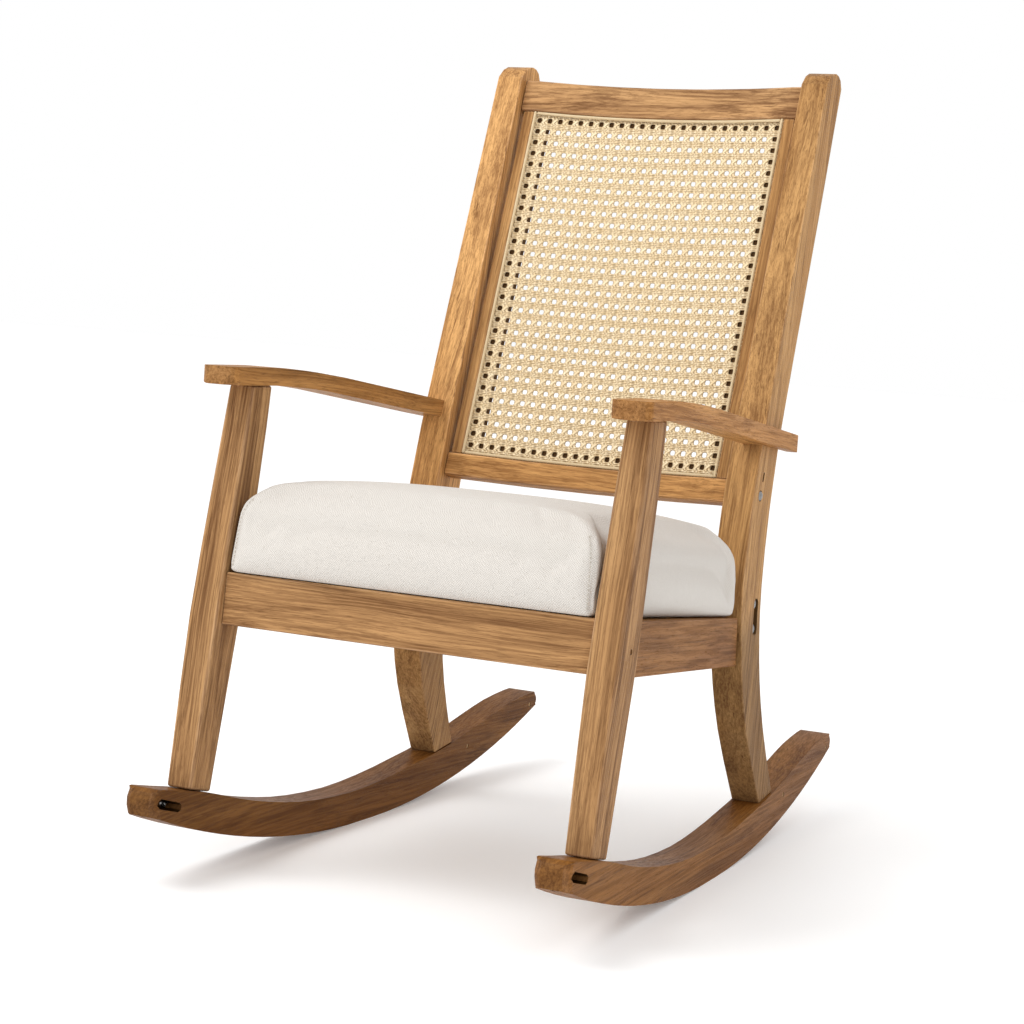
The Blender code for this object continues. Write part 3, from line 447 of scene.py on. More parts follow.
# %% Measures of the cane
BACK_LEAN = atan(0.3385)
BACK_ORIGIN = Vector((0.0, 0.1240, 0.5150))
BACK_FRAME = Matrix.Translation(BACK_ORIGIN) @ Matrix.Rotation(-BACK_LEAN, 4, "X")
OPENING_HALF = 0.1927
OPENING_TALL = 0.5316
BOW_DEPTH = 0.013
BOW_HALF = 0.210
CANE_SET_BACK = 0.0055
WINDOW_ACROSS = 24
WINDOWS_UP = 30
PITCH_ACROSS = 0.01594
PITCH_UP = 0.01737
FIRST_WINDOW_UP = 0.0150
STRANDS = 4
SPACING_ACROSS = 0.00232
SPACING_UP = 0.00256


def bow(x):
    """How far the back is bowed rearward at x."""
    return BOW_DEPTH * (1.0 - min(abs(x) / BOW_HALF, 1.0) ** 2)


def bend_to_back(mesh):
    """Carries a mesh from the flat layout to the bowed, leaning back."""
    for vertex in mesh.vertices:
        x, up, out = vertex.co
        vertex.co = BACK_FRAME @ Vector((x, bow(x) + CANE_SET_BACK - out, up))


print("cane windows:", WINDOW_ACROSS, "by", WINDOWS_UP)

# %% [markdown]
# One Geometry Nodes tree makes all the strands. A row of straight lines is laid out in whole numbers: the
# strand's number across and the crossing's number along. Set Position then turns those numbers into real
# places, in groups with gaps between them, and lifts each point over or under the strand that it crosses.
# Curve to Mesh gives the line its body, a flat lens in section, as split cane has. The same tree makes
# the diagonals, whose strands step sideways at every point.

# %% Geometry Nodes tree for strands of cane


def add_inputs(group, inputs):
    """Named inputs of a Geometry Nodes tree, after its geometry."""
    group.interface.new_socket(name="Geometry", in_out="INPUT", socket_type="NodeSocketGeometry")
    for label, kind in inputs:
        group.interface.new_socket(name=label, in_out="INPUT", socket_type=kind)
    group.interface.new_socket(name="Geometry", in_out="OUTPUT", socket_type="NodeSocketGeometry")
    return group.nodes.new("NodeGroupInput"), group.nodes.new("NodeGroupOutput")


def spread(tree, number, in_group, pitch, spacing):
    """Where a strand's number falls: whole groups a pitch apart, strands a spacing apart in a group."""
    group_number = calc(tree, "FLOOR", calc(tree, "DIVIDE", calc(tree, "ADD", number, 0.01), in_group))
    within = calc(tree, "SUBTRACT", number, calc(tree, "MULTIPLY", group_number, in_group))
    middle = calc(tree, "MULTIPLY", calc(tree, "SUBTRACT", in_group, 1.0), 0.5)
    offset = calc(tree, "MULTIPLY", calc(tree, "SUBTRACT", within, middle), spacing)
    return calc(tree, "ADD", calc(tree, "MULTIPLY", group_number, pitch), offset)


OVER_HEIGHT = 0.0005


def make_strand_tree():
    tree = bpy.data.node_groups.new("cane_strands", "GeometryNodeTree")
    ends, out = add_inputs(tree, [
        ("Strands", "NodeSocketInt"), ("Crossings", "NodeSocketInt"),
        ("Group across", FLOAT), ("Pitch across", FLOAT), ("Spacing across", FLOAT),
        ("Start across", FLOAT),
        ("Group along", FLOAT), ("Pitch along", FLOAT), ("Spacing along", FLOAT), ("Start along", FLOAT),
        ("Side step", FLOAT), ("Wave height", FLOAT), ("Wave step", FLOAT), ("Stagger", FLOAT),
        ("Half width", FLOAT), ("Length", FLOAT), ("Strand width", FLOAT), ("Strand thickness", FLOAT),
        ("Material", "NodeSocketMaterial")])
    size = ends.outputs
    last = calc(tree, "SUBTRACT", size["Crossings"], 1.0)
    top = node(tree, "ShaderNodeCombineXYZ", {1: last}).outputs[0]
    line = node(tree, "GeometryNodeCurvePrimitiveLine", {"End": top})
    line = node(tree, "GeometryNodeResampleCurve", {"Curve": line.outputs[0], "Count": size["Crossings"]})
    row = node(tree, "GeometryNodeMeshLine", {"Count": size["Strands"], "Offset": (1.0, 0.0, 0.0)})
    laid = node(tree, "GeometryNodeInstanceOnPoints",
                {"Points": row.outputs[0], "Instance": line.outputs[0]})
    real = node(tree, "GeometryNodeRealizeInstances", {0: laid.outputs[0]})
    place = node(tree, "ShaderNodeSeparateXYZ", {0: node(tree, "GeometryNodeInputPosition").outputs[0]})
    strand, crossing = calc(tree, "ROUND", place.outputs[0]), calc(tree, "ROUND", place.outputs[1])
    luck = node(tree, "FunctionNodeRandomValue", data_type="FLOAT")
    tree.links.new(strand, luck.inputs["ID"])
    luck.inputs["Seed"].default_value = 7
    chance = next(socket for socket in luck.outputs if socket.enabled)
    named = node(tree, "GeometryNodeStoreNamedAttribute",
                 {"Geometry": real.outputs[0], "Name": "strand", "Value": chance},
                 data_type="FLOAT", domain="POINT")
    across = spread(tree, strand, size["Group across"], size["Pitch across"], size["Spacing across"])
    along = spread(tree, crossing, size["Group along"], size["Pitch along"], size["Spacing along"])
    across = calc(tree, "ADD", across, calc(tree, "MULTIPLY", crossing, size["Side step"]))
    across = calc(tree, "ADD", calc(tree, "ADD", across, size["Start across"]),
                  calc(tree, "MULTIPLY", calc(tree, "SUBTRACT", chance, 0.5), 0.0003))
    along = calc(tree, "ADD", along, size["Start along"])
    wave = calc(tree, "ADD", calc(tree, "MULTIPLY", crossing, size["Wave step"]),
                calc(tree, "MULTIPLY", strand, size["Stagger"]))
    lift = calc(tree, "COSINE", calc(tree, "MULTIPLY", wave, pi))
    lift = calc(tree, "MULTIPLY", lift, size["Wave height"])
    spot = node(tree, "ShaderNodeCombineXYZ", {0: across, 1: along, 2: lift}).outputs[0]
    lifted = node(tree, "GeometryNodeStoreNamedAttribute",
                  {"Geometry": named.outputs[0], "Name": "over",
                   "Value": calc(tree, "DIVIDE", lift, OVER_HEIGHT)},
                  data_type="FLOAT", domain="POINT")
    woven = node(tree, "GeometryNodeSetPosition", {"Geometry": lifted.outputs[0], "Position": spot})
    now = node(tree, "ShaderNodeSeparateXYZ", {0: node(tree, "GeometryNodeInputPosition").outputs[0]})
    outside = calc(tree, "GREATER_THAN", calc(tree, "ABSOLUTE", now.outputs[0]), size["Half width"])
    middle = calc(tree, "MULTIPLY", size["Length"], 0.5)
    from_middle = calc(tree, "ABSOLUTE", calc(tree, "SUBTRACT", now.outputs[1], middle))
    beyond = calc(tree, "GREATER_THAN", from_middle, middle)
    trimmed = node(tree, "GeometryNodeDeleteGeometry",
                   {"Geometry": woven.outputs[0], "Selection": calc(tree, "MAXIMUM", outside, beyond)})
    flat = node(tree, "GeometryNodeSetCurveNormal", {"Curve": trimmed.outputs[0]}, mode="Z_UP")
    ring = node(tree, "GeometryNodeCurvePrimitiveCircle", {"Resolution": 4, "Radius": 0.5}, mode="RADIUS")
    section = node(tree, "ShaderNodeCombineXYZ",
                   {0: size["Strand width"], 1: size["Strand thickness"], 2: 1.0}).outputs[0]
    lens = node(tree, "GeometryNodeTransform", {"Geometry": ring.outputs[0], "Scale": section})
    body = node(tree, "GeometryNodeCurveToMesh",
                {"Curve": flat.outputs[0], "Profile Curve": lens.outputs[0], "Fill Caps": True})
    whole = node(tree, "GeometryNodeRealizeInstances", {0: body.outputs[0]})
    dressed = node(tree, "GeometryNodeSetMaterial", {"Geometry": whole.outputs[0],
                                                     "Material": size["Material"]})
    tree.links.new(dressed.outputs[0], out.inputs[0])
    return tree


STRAND_TREE = make_strand_tree()
print("strand tree:", len(STRAND_TREE.nodes), "nodes")

# %% [markdown]
# Split cane keeps the glossy bark on its face. Each strand carries its own random number, which moves its
# straw colour a little, and faint fibres run over everything. The soft shine comes from a low roughness.

# %% Cane finish


def make_cane(name, pale, dark, roughness):
    made, tree, shader = new_material(name, pale)
    place = node(tree, "ShaderNodeTexCoord").outputs["Object"]
    own = node(tree, "ShaderNodeAttribute", attribute_name="strand").outputs["Fac"]
    patches = stretched_noise(tree, place, (160.0, 160.0, 160.0), 3.0, 0.6)
    fibres = stretched_noise(tree, place, (1500.0, 1500.0, 700.0), 2.0)
    amount = calc(tree, "ADD", calc(tree, "MULTIPLY", own, 0.30), fade(tree, patches, 0.35, 0.7, 0.0, 0.55))
    colour = blend_colours(tree, amount, (*pale, 1), (*dark, 1))
    # Painted shade: a strand is darkened where it slopes down to pass under the strand that crosses it.
    over = node(tree, "ShaderNodeAttribute", attribute_name="over").outputs["Fac"]
    under = fade(tree, calc(tree, "ABSOLUTE", over), 0.75, 0.15, 0.0, 0.50)
    colour = blend_colours(tree, under, colour, (0.330, 0.190, 0.070, 1))
    colour = blend_colours(tree, fade(tree, fibres, 0.56, 0.74, 0.0, 0.35), colour, (0.40, 0.25, 0.10, 1))
    tree.links.new(colour, shader.inputs["Base Color"])
    tree.links.new(fade(tree, fibres, 0.3, 0.7, roughness - 0.06, roughness + 0.12),
                   shader.inputs["Roughness"])
    bump = node(tree, "ShaderNodeBump", {"Strength": 0.4, "Distance": 0.0002, "Height": fibres})
    tree.links.new(bump.outputs[0], shader.inputs["Normal"])
    return made


CANE = make_cane("cane", (0.960, 0.800, 0.540), (0.800, 0.590, 0.310), 0.38)
REED = make_cane("spline_reed", (0.960, 0.820, 0.540), (0.880, 0.690, 0.400), 0.42)
print("cane finishes:", CANE.name, REED.name)

# %% [markdown]
# The tree is run four times: strands up the back, strands across it, and a set of diagonals each way. The
# crosswise set is made upright too and then turned, so the wave of the one passes under the wave of the
# other. Each result is turned into a plain mesh of its own.

# %% Weave the cane
FIRST_WINDOW_ACROSS = -PITCH_ACROSS * (WINDOW_ACROSS - 1) / 2
FIRST_ROW = FIRST_WINDOW_UP - PITCH_UP / 2
FIRST_COLUMN = FIRST_WINDOW_ACROSS - PITCH_ACROSS / 2
STRAND_THICK = 0.00085
STRAND_FILL = 1.12
WAVE = 0.00048


def run_tree(piece, label, tree, values):
    """Runs a Geometry Nodes tree on a piece with named inputs and leaves a plain mesh."""
    modifier = piece.modifiers.new(label, "NODES")
    modifier.node_group = tree
    for item in tree.interface.items_tree:
        if item.in_out == "INPUT" and item.name in values:
            modifier[item.identifier] = values[item.name]
    return plain_mesh(piece)


def weave(name, values):
    """Runs the strand tree with the given inputs on a new object."""
    piece = bpy.data.objects.new(name, bpy.data.meshes.new(name))
    bpy.context.scene.collection.objects.link(piece)
    return run_tree(piece, "strands", STRAND_TREE, values)


def finish_cane(piece, turned=False):
    """Turns a crosswise set, bends it to the back and hands it to the frame."""
    if turned:
        piece.data.transform(Matrix.Rotation(radians(-90), 4, "Z"))
    bend_to_back(piece.data)
    piece.data.shade_smooth()
    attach(piece, "chair_frame")
    print(piece.name, len(piece.data.polygons), "faces")
    return piece


shared = {"Wave step": 1.0, "Stagger": 1.0, "Wave height": WAVE, "Side step": 0.0, "Half width": 1.0,
          "Strand thickness": STRAND_THICK, "Material": CANE}
uprights = weave("cane_uprights", {
    **shared, "Strands": (WINDOW_ACROSS + 1) * STRANDS, "Crossings": (WINDOWS_UP + 1) * STRANDS,
    "Group across": STRANDS, "Pitch across": PITCH_ACROSS, "Spacing across": SPACING_ACROSS,
    "Start across": FIRST_COLUMN, "Group along": STRANDS, "Pitch along": PITCH_UP,
    "Spacing along": SPACING_UP, "Start along": FIRST_ROW, "Length": 1.0,
    "Strand width": SPACING_ACROSS * STRAND_FILL})
finish_cane(uprights)
crosswise = weave("cane_crosswise", {
    **shared, "Strands": (WINDOWS_UP + 1) * STRANDS, "Crossings": (WINDOW_ACROSS + 1) * STRANDS,
    "Wave height": -WAVE, "Group across": STRANDS, "Pitch across": PITCH_UP, "Spacing across": SPACING_UP,
    "Start across": -FIRST_ROW - WINDOWS_UP * PITCH_UP, "Group along": STRANDS, "Pitch along": PITCH_ACROSS,
    "Spacing along": SPACING_ACROSS, "Start along": FIRST_COLUMN + 1.0, "Length": 3.0,
    "Strand width": SPACING_UP * STRAND_FILL})
crosswise.data.transform(Matrix.Translation((0.0, -1.0, 0.0)))
finish_cane(crosswise, turned=True)

# %% [markdown]
# A diagonal starts halfway between two windows in front of the upright strands and passes behind the
# crosswise ones half a pitch further on. Two points for each half pitch keep its bends round.

# %% Diagonal strands
DIAGONAL_WIDE = 0.0044
DIAGONAL_THICK = 0.0006
RIM_CLEAR = 0.0006


def diagonals(name, direction, height):
    steps = 2 * 2 * WINDOWS_UP + 4
    side_step = direction * PITCH_ACROSS / 4
    start = FIRST_COLUMN - PITCH_ACROSS * (round(steps / 4) if direction > 0 else 0)
    strands = WINDOW_ACROSS + 2 + round(steps / 4)
    piece = weave(name, {
        "Strands": strands, "Crossings": steps, "Group across": 1.0, "Pitch across": PITCH_ACROSS,
        "Spacing across": 0.0, "Start across": start, "Group along": 1.0, "Pitch along": PITCH_UP / 4,
        "Spacing along": 0.0, "Start along": FIRST_WINDOW_UP - PITCH_UP, "Side step": side_step,
        "Wave height": height, "Wave step": 0.5, "Stagger": 0.0, "Half width": OPENING_HALF - RIM_CLEAR,
        "Length": OPENING_TALL, "Strand width": DIAGONAL_WIDE, "Strand thickness": DIAGONAL_THICK,
        "Material": CANE})
    return finish_cane(piece)


rising = diagonals("cane_diagonals_rising", 1, 0.00125)
falling = diagonals("cane_diagonals_falling", -1, 0.00085)
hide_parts("cane_panel")
print("the cane stands for the panel of the frame")

# %% [markdown]
# The cane lies over a rebated ledge of the back's own wood, painted nearly black as shade, which shows dark
# through the outer windows.
# The ledge is four thin boards that follow the bow. Round reeds, the splines, are pressed into the groove
# around the opening and hold the cane.

# %% Ledge behind the cane, and splines
LEDGE_SIDE = 0.0205
LEDGE_TOP = 0.0190
LEDGE_BOTTOM = 0.0215
LEDGE_FRONT = CANE_SET_BACK + 0.0022
LEDGE_DEEP = 0.0125
LEDGE_GAP = 0.0004
LEDGE_PIECE = 0.012


def bowed_board(name, x_low, x_high, up_low, up_high, number):
    """A thin board across the back: a box cut into short lengths and bent to the bow."""
    shape = bmesh.new()
    bmesh.ops.create_cube(shape, size=1.0)
    pieces = max(int((x_high - x_low) / LEDGE_PIECE), 1)
    lengthwise = [edge for edge in shape.edges if abs((edge.verts[0].co - edge.verts[1].co).x) > 0.5]
    bmesh.ops.subdivide_edges(shape, edges=lengthwise, cuts=pieces, use_grid_fill=True)
    for vertex in shape.verts:
        x = x_low + (vertex.co.x + 0.5) * (x_high - x_low)
        out = LEDGE_FRONT + (vertex.co.y + 0.5) * LEDGE_DEEP
        up = up_low + (vertex.co.z + 0.5) * (up_high - up_low)
        vertex.co = BACK_FRAME @ Vector((x, bow(x) + out, up))
    piece = object_from(shape, name, OAK["oak_shadow"])
    lay_grain(piece, number)
    smooth_finish(piece)
    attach(piece, "chair_frame")
    return piece


inner = OPENING_HALF - LEDGE_SIDE
bowed_board("cane_ledge_left", inner, OPENING_HALF - LEDGE_GAP, 0.0, OPENING_TALL, 51)
bowed_board("cane_ledge_right", -OPENING_HALF + LEDGE_GAP, -inner, 0.0, OPENING_TALL, 52)
bowed_board("cane_ledge_upper", -inner, inner, OPENING_TALL - LEDGE_TOP, OPENING_TALL - LEDGE_GAP, 53)
bowed_board("cane_ledge_lower", -inner, inner, LEDGE_GAP, LEDGE_BOTTOM, 54)
for place in ("left", "right", "upper", "lower"):
    reed = object_from(merged_copy("cane_spline_" + place), "reed_spline_" + place, REED)
    smooth_finish(reed)
    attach(reed, "chair_frame")
    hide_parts("cane_spline_" + place)
print("ledge and splines in place")

# %% [markdown]
# The seat cushion is a box cushion: a top, a bottom and a band of linen sewn round a foam pad, with a
# seam down each corner of the band. Its front is just narrow enough to sit between the legs, and behind
# them it widens over the side rails. The cover is made the way it is on the real one, by filling it. A
# softened box is remeshed into an even cloth, and a cloth simulation with an inner pressure swells it.

# %% Cushion cover
SEAT_TILT = radians(4.95)
SEAT_FRAME = Matrix.Translation((0.0, -0.4088, 0.3761)) @ Matrix.Rotation(-SEAT_TILT, 4, "X")
CUSHION_HALF = 0.2600
CUSHION_FRONT_HALF = 0.2458
CUSHION_NECK = (0.052, 0.100)
CUSHION_FRONT = -0.008
CUSHION_REAR = 0.484
CUSHION_BOTTOM = 0.0008
CUSHION_TALL = 0.100
CLOTH_CELL = 0.0055
MIDDLE_Y = (CUSHION_FRONT + CUSHION_REAR) / 2
HALF_Y = (CUSHION_REAR - CUSHION_FRONT) / 2


def cushion_half(y):
    """Half width of the cushion: narrow between the legs, wide over the rails."""
    share = min(max((y - CUSHION_NECK[0]) / (CUSHION_NECK[1] - CUSHION_NECK[0]), 0.0), 1.0)
    return CUSHION_FRONT_HALF + (CUSHION_HALF - CUSHION_FRONT_HALF) * share ** 2 * (3 - 2 * share)


ROUNDING = 0.040
ROUND_SHARE = {"front corner": 0.36, "rear corner": 0.80, "front top": 0.66, "side top": 0.66,
               "rear top": 1.0, "bottom": 0.24, "rear bottom": 0.50}


def edge_place(middle):
    """Which edge of the pad this is, from the middle of the edge."""
    if abs(middle.z - CUSHION_TALL / 2) < 0.01:
        return "rear corner" if middle.y > MIDDLE_Y else "front corner"
    rear, side = middle.y > MIDDLE_Y + 0.01, abs(middle.x) > 0.01
    if middle.z < CUSHION_TALL / 2:
        return "rear bottom" if rear and not side else "bottom"
    return "side top" if side else "rear top" if rear else "front top"


def cushion_cage():
    """The pad as a box in the seat's frame, with the share of rounding that each edge gets."""
    shape = bmesh.new()
    bmesh.ops.create_cube(shape, size=1.0)
    for vertex in shape.verts:
        x, y, z = vertex.co
        vertex.co = (2 * x * CUSHION_HALF, MIDDLE_Y + 2 * y * HALF_Y,
                     CUSHION_BOTTOM + (z + 0.5) * (CUSHION_TALL - CUSHION_BOTTOM))
    weight = shape.edges.layers.float.new("bevel_weight_edge")
    for edge in shape.edges:
        edge[weight] = ROUND_SHARE[edge_place((edge.verts[0].co + edge.verts[1].co) / 2)]
    return shape


LINEN_STAND_IN = new_material("linen", (0.86, 0.83, 0.77))[0]
cushion = object_from(cushion_cage(), "linen_seat_cushion", LINEN_STAND_IN)
rounding = cushion.modifiers.new("rounding", "BEVEL")
rounding.limit_method = "WEIGHT"
rounding.width = ROUNDING
rounding.segments = 7
remesh = cushion.modifiers.new("even_cloth", "REMESH")
remesh.mode = "VOXEL"
remesh.voxel_size = CLOTH_CELL
remesh.use_smooth_shade = True
plain_mesh(cushion)
for vertex in cushion.data.vertices:
    vertex.co.x *= cushion_half(vertex.co.y) / CUSHION_HALF
print("cushion cloth:", len(cushion.data.vertices), "points")

# %% [markdown]
# The cloth swells for twenty frames without gravity. Points under the pad are pinned, and afterwards no
# point may have moved further than the foam would let it.

# %% Fill the cushion
REACH = 0.012
SWELL_FRAMES = 20
HELD_HEIGHT = 0.003
PRESSURE = 4.0


def swell(piece):
    """Inflates the cover by cloth simulation and caps how far each point moves."""
    scene = bpy.context.scene
    start = np.array([vertex.co for vertex in piece.data.vertices])
    held = piece.vertex_groups.new(name="held")
    for vertex in piece.data.vertices:
        if vertex.co.z < CUSHION_BOTTOM + HELD_HEIGHT:
            held.add([vertex.index], 1.0, "REPLACE")
    cloth = piece.modifiers.new("cover", "CLOTH")
    cloth.settings.quality = 6
    cloth.settings.mass = 0.25
    cloth.settings.tension_stiffness = 14.0
    cloth.settings.compression_stiffness = 14.0
    cloth.settings.shear_stiffness = 8.0
    cloth.settings.bending_stiffness = 0.8
    cloth.settings.use_pressure = True
    cloth.settings.uniform_pressure_force = PRESSURE
    cloth.settings.vertex_group_mass = "held"
    cloth.settings.effector_weights.gravity = 0.0
    cloth.collision_settings.use_collision = False
    cloth.point_cache.frame_start = 1
    cloth.point_cache.frame_end = SWELL_FRAMES
    for number in range(1, SWELL_FRAMES + 1):
        scene.frame_set(number)
    plain_mesh(piece)
    scene.frame_set(1)
    end = np.array([vertex.co for vertex in piece.data.vertices])
    moved = end - start
    length = np.linalg.norm(moved, axis=1)
    share = np.minimum(1.0, REACH / np.maximum(length, 1e-9))
    end = start + moved * share[:, None]
    piece.data.vertices.foreach_set("co", end.astype(np.float32).ravel())
    print("cover moved up to", round(float(length.max()) * 1000, 1), "mm, kept within", REACH * 1000, "mm")


swell(cushion)

# %% [markdown]
# The foam's own crown is exact arithmetic: a broad dome over the top and a gentle belly on the band,
# which pulls in at the corners. Where the cushion passes between the front legs it may not be wider than
# the gap.

# %% Crown and belly
CROWN = 0.021
BELLY = 0.007
LEG_GAP_HALF = 0.2456
LEG_GAP_END = 0.056
LEG_GAP_EASE = 0.030
SIDE_LIMIT = 0.2700
FRONT_LIMIT = -0.0150
REAR_LIMIT = 0.4885


def dome(a, power=3.0):
    """One in the middle, falling smoothly to nothing at the edges."""
    return max(0.0, 1.0 - min(abs(a), 1.0) ** power)


def soft_limit(value, limit, ease=0.006):
    """Keeps a value under a limit, easing into it."""
    over = value - (limit - ease)
    return value if over <= 0 else limit - ease + ease * (1 - np.exp(-over / ease))


def shape_cushion(piece):
    for vertex in piece.data.vertices:
        x, y, z = vertex.co
        across, deep = x / cushion_half(y), (y - MIDDLE_Y) / HALF_Y
        height = min(max(z / CUSHION_TALL, 0.0), 1.0)
        z += CROWN * dome(across) * dome(deep, 3.2) * height ** 1.6
        belly = BELLY * 4.0 * height * (1.0 - height)
        x += belly * dome(deep) * (1 if x > 0 else -1) * min(abs(across), 1.0) ** 6
        y += belly * dome(across) * (1 if deep > 0 else -1) * min(abs(deep), 1.0) ** 6
        ease = min(max((y - LEG_GAP_END) / LEG_GAP_EASE, 0.0), 1.0)
        widest = LEG_GAP_HALF + (SIDE_LIMIT - LEG_GAP_HALF) * ease ** 2 * (3 - 2 * ease)
        x = soft_limit(abs(x), widest) * (1 if x > 0 else -1)
        y = -soft_limit(-y, -FRONT_LIMIT) if y < MIDDLE_Y else soft_limit(y, REAR_LIMIT)
        vertex.co = (x, y, max(z, CUSHION_BOTTOM))


shape_cushion(cushion)
subdivision = cushion.modifiers.new("fine", "SUBSURF")
subdivision.levels = 1
subdivision.render_levels = 1
plain_mesh(cushion)
print("cushion:", len(cushion.data.polygons), "faces")

# %% [markdown]
# Each corner of the band has a seam. A ray from inside the pad finds the cover along the corner's
# diagonal at a row of heights, which gives the seam's line on the swollen surface. The cover is then
# pressed in along it.

# %% Find and press the corner seams
SEAM_LOW = 0.010
SEAM_HIGH = 0.092
SEAM_DEEP = 0.0022
SEAM_WIDE = 0.0034
SEAM_POINTS = 26
SEAM_START = 0.060
SEAM_NEAR = 0.075


def corner_seam(tree, side, end):
    """The line of a corner seam on the band, from bottom to top, and its outward direction."""
    y = CUSHION_FRONT if end < 0 else CUSHION_REAR
    start = Vector((side * (cushion_half(y) - SEAM_START), y - end * SEAM_START, 0.0))
    outward = Vector((side, end, 0.0)).normalized()
    line = []
    for step in range(SEAM_POINTS):
        start.z = SEAM_LOW + (SEAM_HIGH - SEAM_LOW) * step / (SEAM_POINTS - 1)
        line.append(tree.ray_cast(start, outward)[0])
    return line, outward


def press_seams(piece, seams):
    """Pulls the points near each seam line inward."""
    for vertex in piece.data.vertices:
        for line, outward in seams:
            middle = line[len(line) // 2]
            if (vertex.co - middle).length > SEAM_NEAR:
                continue
            share = (vertex.co.z - SEAM_LOW) / (SEAM_HIGH - SEAM_LOW)
            if -0.05 < share < 1.05:
                near = line[round(min(max(share, 0.0), 1.0) * (len(line) - 1))]
                away = (vertex.co - near).length
                vertex.co -= outward * SEAM_DEEP * np.exp(-(away / SEAM_WIDE) ** 2)


surface = bmesh.new()
surface.from_mesh(cushion.data)
cover_tree = BVHTree.FromBMesh(surface)
SEAMS = [corner_seam(cover_tree, side, end) for side in (-1, 1) for end in (-1, 1)]
surface.free()
press_seams(cushion, SEAMS)
print("seams pressed:", len(SEAMS))

# %% [markdown]
# The cloth's threads should follow the cover round the pad. Each face is therefore given its own flat
# map: seen from above on the top, from the front on the front band and from the side on the side bands,
# always in metres, so that the weave keeps its size.

# %% Map for the weave


def map_cover(piece):
    """A box-wise map of the cover in metres."""
    layer = piece.data.uv_layers.new(name="weave")
    turned = {0: (1, 2), 1: (0, 2), 2: (0, 1)}
    flat = np.empty((len(piece.data.loops), 2), np.float32)
    for face in piece.data.polygons:
        first, second = turned[int(np.argmax(np.abs(face.normal)))]
        for loop in face.loop_indices:
            spot = piece.data.vertices[piece.data.loops[loop].vertex_index].co
            flat[loop] = (spot[first], spot[second])
    layer.data.foreach_set("uv", flat.ravel())


map_cover(cushion)
cushion.data.transform(SEAT_FRAME)
cushion.data.shade_smooth()
print("cover mapped")

# %% [markdown]
# The seams are topstitched. A small Geometry Nodes tree turns a line of points into a curve, cuts it at
# the stitch pitch and sets a short rounded thread on every point, turned along the line.

# %% Geometry Nodes tree for stitches


def make_stitch_tree():
    tree = bpy.data.node_groups.new("stitches", "GeometryNodeTree")
    ends, out = add_inputs(tree, [("Pitch", FLOAT), ("Stitch length", FLOAT), ("Thread", FLOAT),
                                  ("Material", "NodeSocketMaterial")])
    size = ends.outputs
    line = node(tree, "GeometryNodeMeshToCurve", {"Mesh": size["Geometry"]})
    even = node(tree, "GeometryNodeResampleCurve", {"Curve": line.outputs[0], "Length": size["Pitch"]},
                mode="LENGTH")
    ball = node(tree, "GeometryNodeMeshUVSphere", {"Segments": 8, "Rings": 5, "Radius": 0.5})
    shape = node(tree, "ShaderNodeCombineXYZ", {0: size["Thread"], 1: size["Thread"],
                                                2: size["Stitch length"]}).outputs[0]
    thread = node(tree, "GeometryNodeTransform", {"Geometry": ball.outputs[0], "Scale": shape})
    along = node(tree, "GeometryNodeInputTangent").outputs[0]
    turned = node(tree, "FunctionNodeAlignRotationToVector", {"Vector": along}, axis="Z")
    laid = node(tree, "GeometryNodeInstanceOnPoints",
                {"Points": even.outputs[0], "Instance": thread.outputs[0], "Rotation": turned.outputs[0]})
    real = node(tree, "GeometryNodeRealizeInstances", {0: laid.outputs[0]})
    dressed = node(tree, "GeometryNodeSetMaterial", {"Geometry": real.outputs[0],
                                                     "Material": size["Material"]})
    tree.links.new(dressed.outputs[0], out.inputs[0])
    return tree


STITCH_TREE = make_stitch_tree()
THREAD = new_material("linen_thread", (0.55, 0.50, 0.42))[0]
print("stitch tree:", len(STITCH_TREE.nodes), "nodes")

# %% [markdown]
# Flax thread is twisted, so its colour and its gloss change along every stitch. The row runs a little to
# the front of each seam, half sunk in the cloth.

# %% Sew the corner seams
STITCH_ASIDE = 0.0034
STITCH_SUNK = 0.0006
STITCH_PITCH = 0.0052
STITCH_LENGTH = 0.0036
THREAD_THICK = 0.0011


def finish_thread():
    tree, shader = THREAD.node_tree, THREAD.node_tree.nodes["Principled BSDF"]
    place = node(tree, "ShaderNodeTexCoord").outputs["Object"]
    twist = stretched_noise(tree, place, (900.0, 900.0, 2600.0), 2.0)
    tree.links.new(blend_colours(tree, fade(tree, twist, 0.35, 0.65), (0.36, 0.31, 0.25, 1),
                                 (0.62, 0.57, 0.49, 1)), shader.inputs["Base Color"])
    bump = node(tree, "ShaderNodeBump", {"Strength": 0.5, "Distance": 0.0002, "Height": twist})
    tree.links.new(bump.outputs[0], shader.inputs["Normal"])
    shader.inputs["Roughness"].default_value = 0.8


def sew(seams):
    """Topstitching along every seam as one mesh."""
    shape = bmesh.new()
    for line, outward in seams:
        aside = Vector((-outward.x, outward.y, 0.0)).normalized() * STITCH_ASIDE
        points = [shape.verts.new(SEAT_FRAME @ (spot + aside - outward * STITCH_SUNK)) for spot in line]
        for pair in zip(points, points[1:]):
            shape.edges.new(pair)
    piece = object_from(shape, "linen_stitches", THREAD)
    run_tree(piece, "stitches", STITCH_TREE, {"Pitch": STITCH_PITCH, "Stitch length": STITCH_LENGTH,
                                              "Thread": THREAD_THICK, "Material": THREAD})
    piece.data.shade_smooth()
    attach(piece, "cushion")
    return piece


finish_thread()
stitches = sew(SEAMS)
print("stitches:", len(stitches.data.polygons), "faces")

# %% [markdown]
# Linen is woven from uneven flax yarn. The product of two waves on the cover's own map makes the fine
# over and under of the weave, and a slow noise keeps its rows from being ruler straight. Stretched noises
# stand for the thicker yarns, the slubs, and a few dark specks for bits of stalk. A little sheen lifts
# the edges.

# %% Linen
YARN = 2 * pi / 0.0030


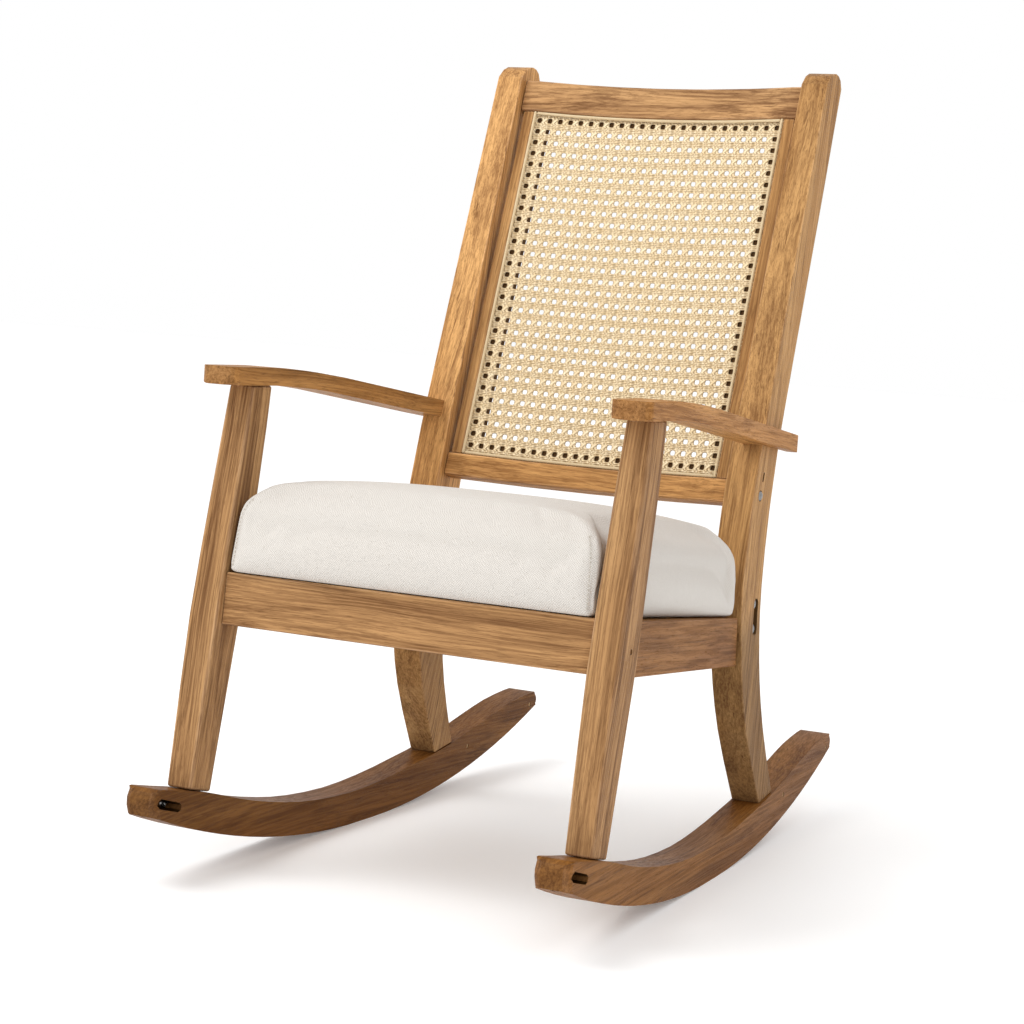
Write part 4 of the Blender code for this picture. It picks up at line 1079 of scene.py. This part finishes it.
def make_linen():
    tree, shader = LINEN_STAND_IN.node_tree, LINEN_STAND_IN.node_tree.nodes["Principled BSDF"]
    place = node(tree, "ShaderNodeTexCoord").outputs["Object"]
    flat = node(tree, "ShaderNodeSeparateXYZ",
                {0: node(tree, "ShaderNodeUVMap", uv_map="weave").outputs[0]}).outputs
    wobble = calc(tree, "MULTIPLY", stretched_noise(tree, place, (70.0, 70.0, 70.0), 2.0), 0.004)
    warp = calc(tree, "SINE", calc(tree, "MULTIPLY", calc(tree, "ADD", flat[0], wobble), YARN))
    weft = calc(tree, "SINE", calc(tree, "MULTIPLY", calc(tree, "ADD", flat[1], wobble), YARN))
    weave = calc(tree, "MULTIPLY", warp, weft)
    along_x = stretched_noise(tree, place, (90.0, 900.0, 900.0), 2.0, 0.6)
    along_z = stretched_noise(tree, place, (900.0, 900.0, 90.0), 2.0, 0.6)
    slubs = calc(tree, "ADD", fade(tree, along_x, 0.58, 0.72), fade(tree, along_z, 0.58, 0.72))
    speck = fade(tree, stretched_noise(tree, place, (420.0, 420.0, 420.0), 1.0), 0.68, 0.76)
    soft = stretched_noise(tree, place, (9.0, 9.0, 9.0), 2.0)
    colour = blend_colours(tree, fade(tree, weave, -0.9, 0.6), (0.535, 0.495, 0.448, 1),
                           (0.735, 0.698, 0.650, 1))
    colour = blend_colours(tree, calc(tree, "MULTIPLY", slubs, 0.50), colour, (0.820, 0.785, 0.735, 1))
    colour = blend_colours(tree, fade(tree, soft, 0.35, 0.65, 0.0, 0.14), colour, (0.640, 0.598, 0.545, 1))
    colour = blend_colours(tree, calc(tree, "MULTIPLY", speck, 0.45), colour, (0.420, 0.370, 0.300, 1))
    tree.links.new(colour, shader.inputs["Base Color"])
    height = calc(tree, "ADD", calc(tree, "MULTIPLY", weave, 0.5), calc(tree, "MULTIPLY", slubs, 0.6))
    bump = node(tree, "ShaderNodeBump", {"Strength": 0.75, "Distance": 0.0006, "Height": height})
    tree.links.new(bump.outputs[0], shader.inputs["Normal"])
    shader.inputs["Roughness"].default_value = 0.92
    shader.inputs["Sheen Weight"].default_value = 0.12
    shader.inputs["Sheen Roughness"].default_value = 0.5
    shader.inputs["Specular IOR Level"].default_value = 0.15


make_linen()
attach(cushion, "cushion")
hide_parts("seat_cushion")
print("cushion sewn and filled")

# %% [markdown]
# The studio is a wide white floor that runs to the horizon, with a white sky all round. One large soft
# lamp high on the left gives the boards their direction of light, and the sky fills the shadows.

# %% Floor, sky and lamps


def make_floor():
    made, tree, shader = new_material("studio_floor", (0.9, 0.9, 0.9))
    shader.inputs["Base Color"].default_value = (0.93, 0.93, 0.93, 1)
    shader.inputs["Roughness"].default_value = 0.75
    shader.inputs["Specular IOR Level"].default_value = 0.1
    shader.inputs["Emission Color"].default_value = (1.0, 1.0, 1.0, 1.0)
    shader.inputs["Emission Strength"].default_value = 0.14
    shape = bmesh.new()
    bmesh.ops.create_grid(shape, x_segments=1, y_segments=1, size=30.0)
    floor = object_from(shape, "studio_floor", made)


def lamp(name, place, target, size, power):
    data = bpy.data.lights.new(name, "AREA")
    data.size = size
    data.energy = power
    made = bpy.data.objects.new(name, data)
    made.location = place
    made.rotation_euler = (Vector(target) - Vector(place)).to_track_quat("-Z", "Y").to_euler()
    bpy.context.scene.collection.objects.link(made)


make_floor()
world = bpy.data.worlds.new("studio_sky")
world.use_nodes = True
world.node_tree.nodes["Background"].inputs[0].default_value = (1.0, 1.0, 1.0, 1.0)
world.node_tree.nodes["Background"].inputs[1].default_value = 1.0
bpy.context.scene.world = world
lamp("key_lamp", (-1.6, -1.7, 3.4), (0.0, 0.0, 0.5), 1.8, 56.0)
lamp("front_lamp", (1.6, -3.2, 1.6), (0.0, 0.0, 0.5), 2.0, 4.0)
bpy.context.scene.view_settings.view_transform = "Standard"
print("studio ready")
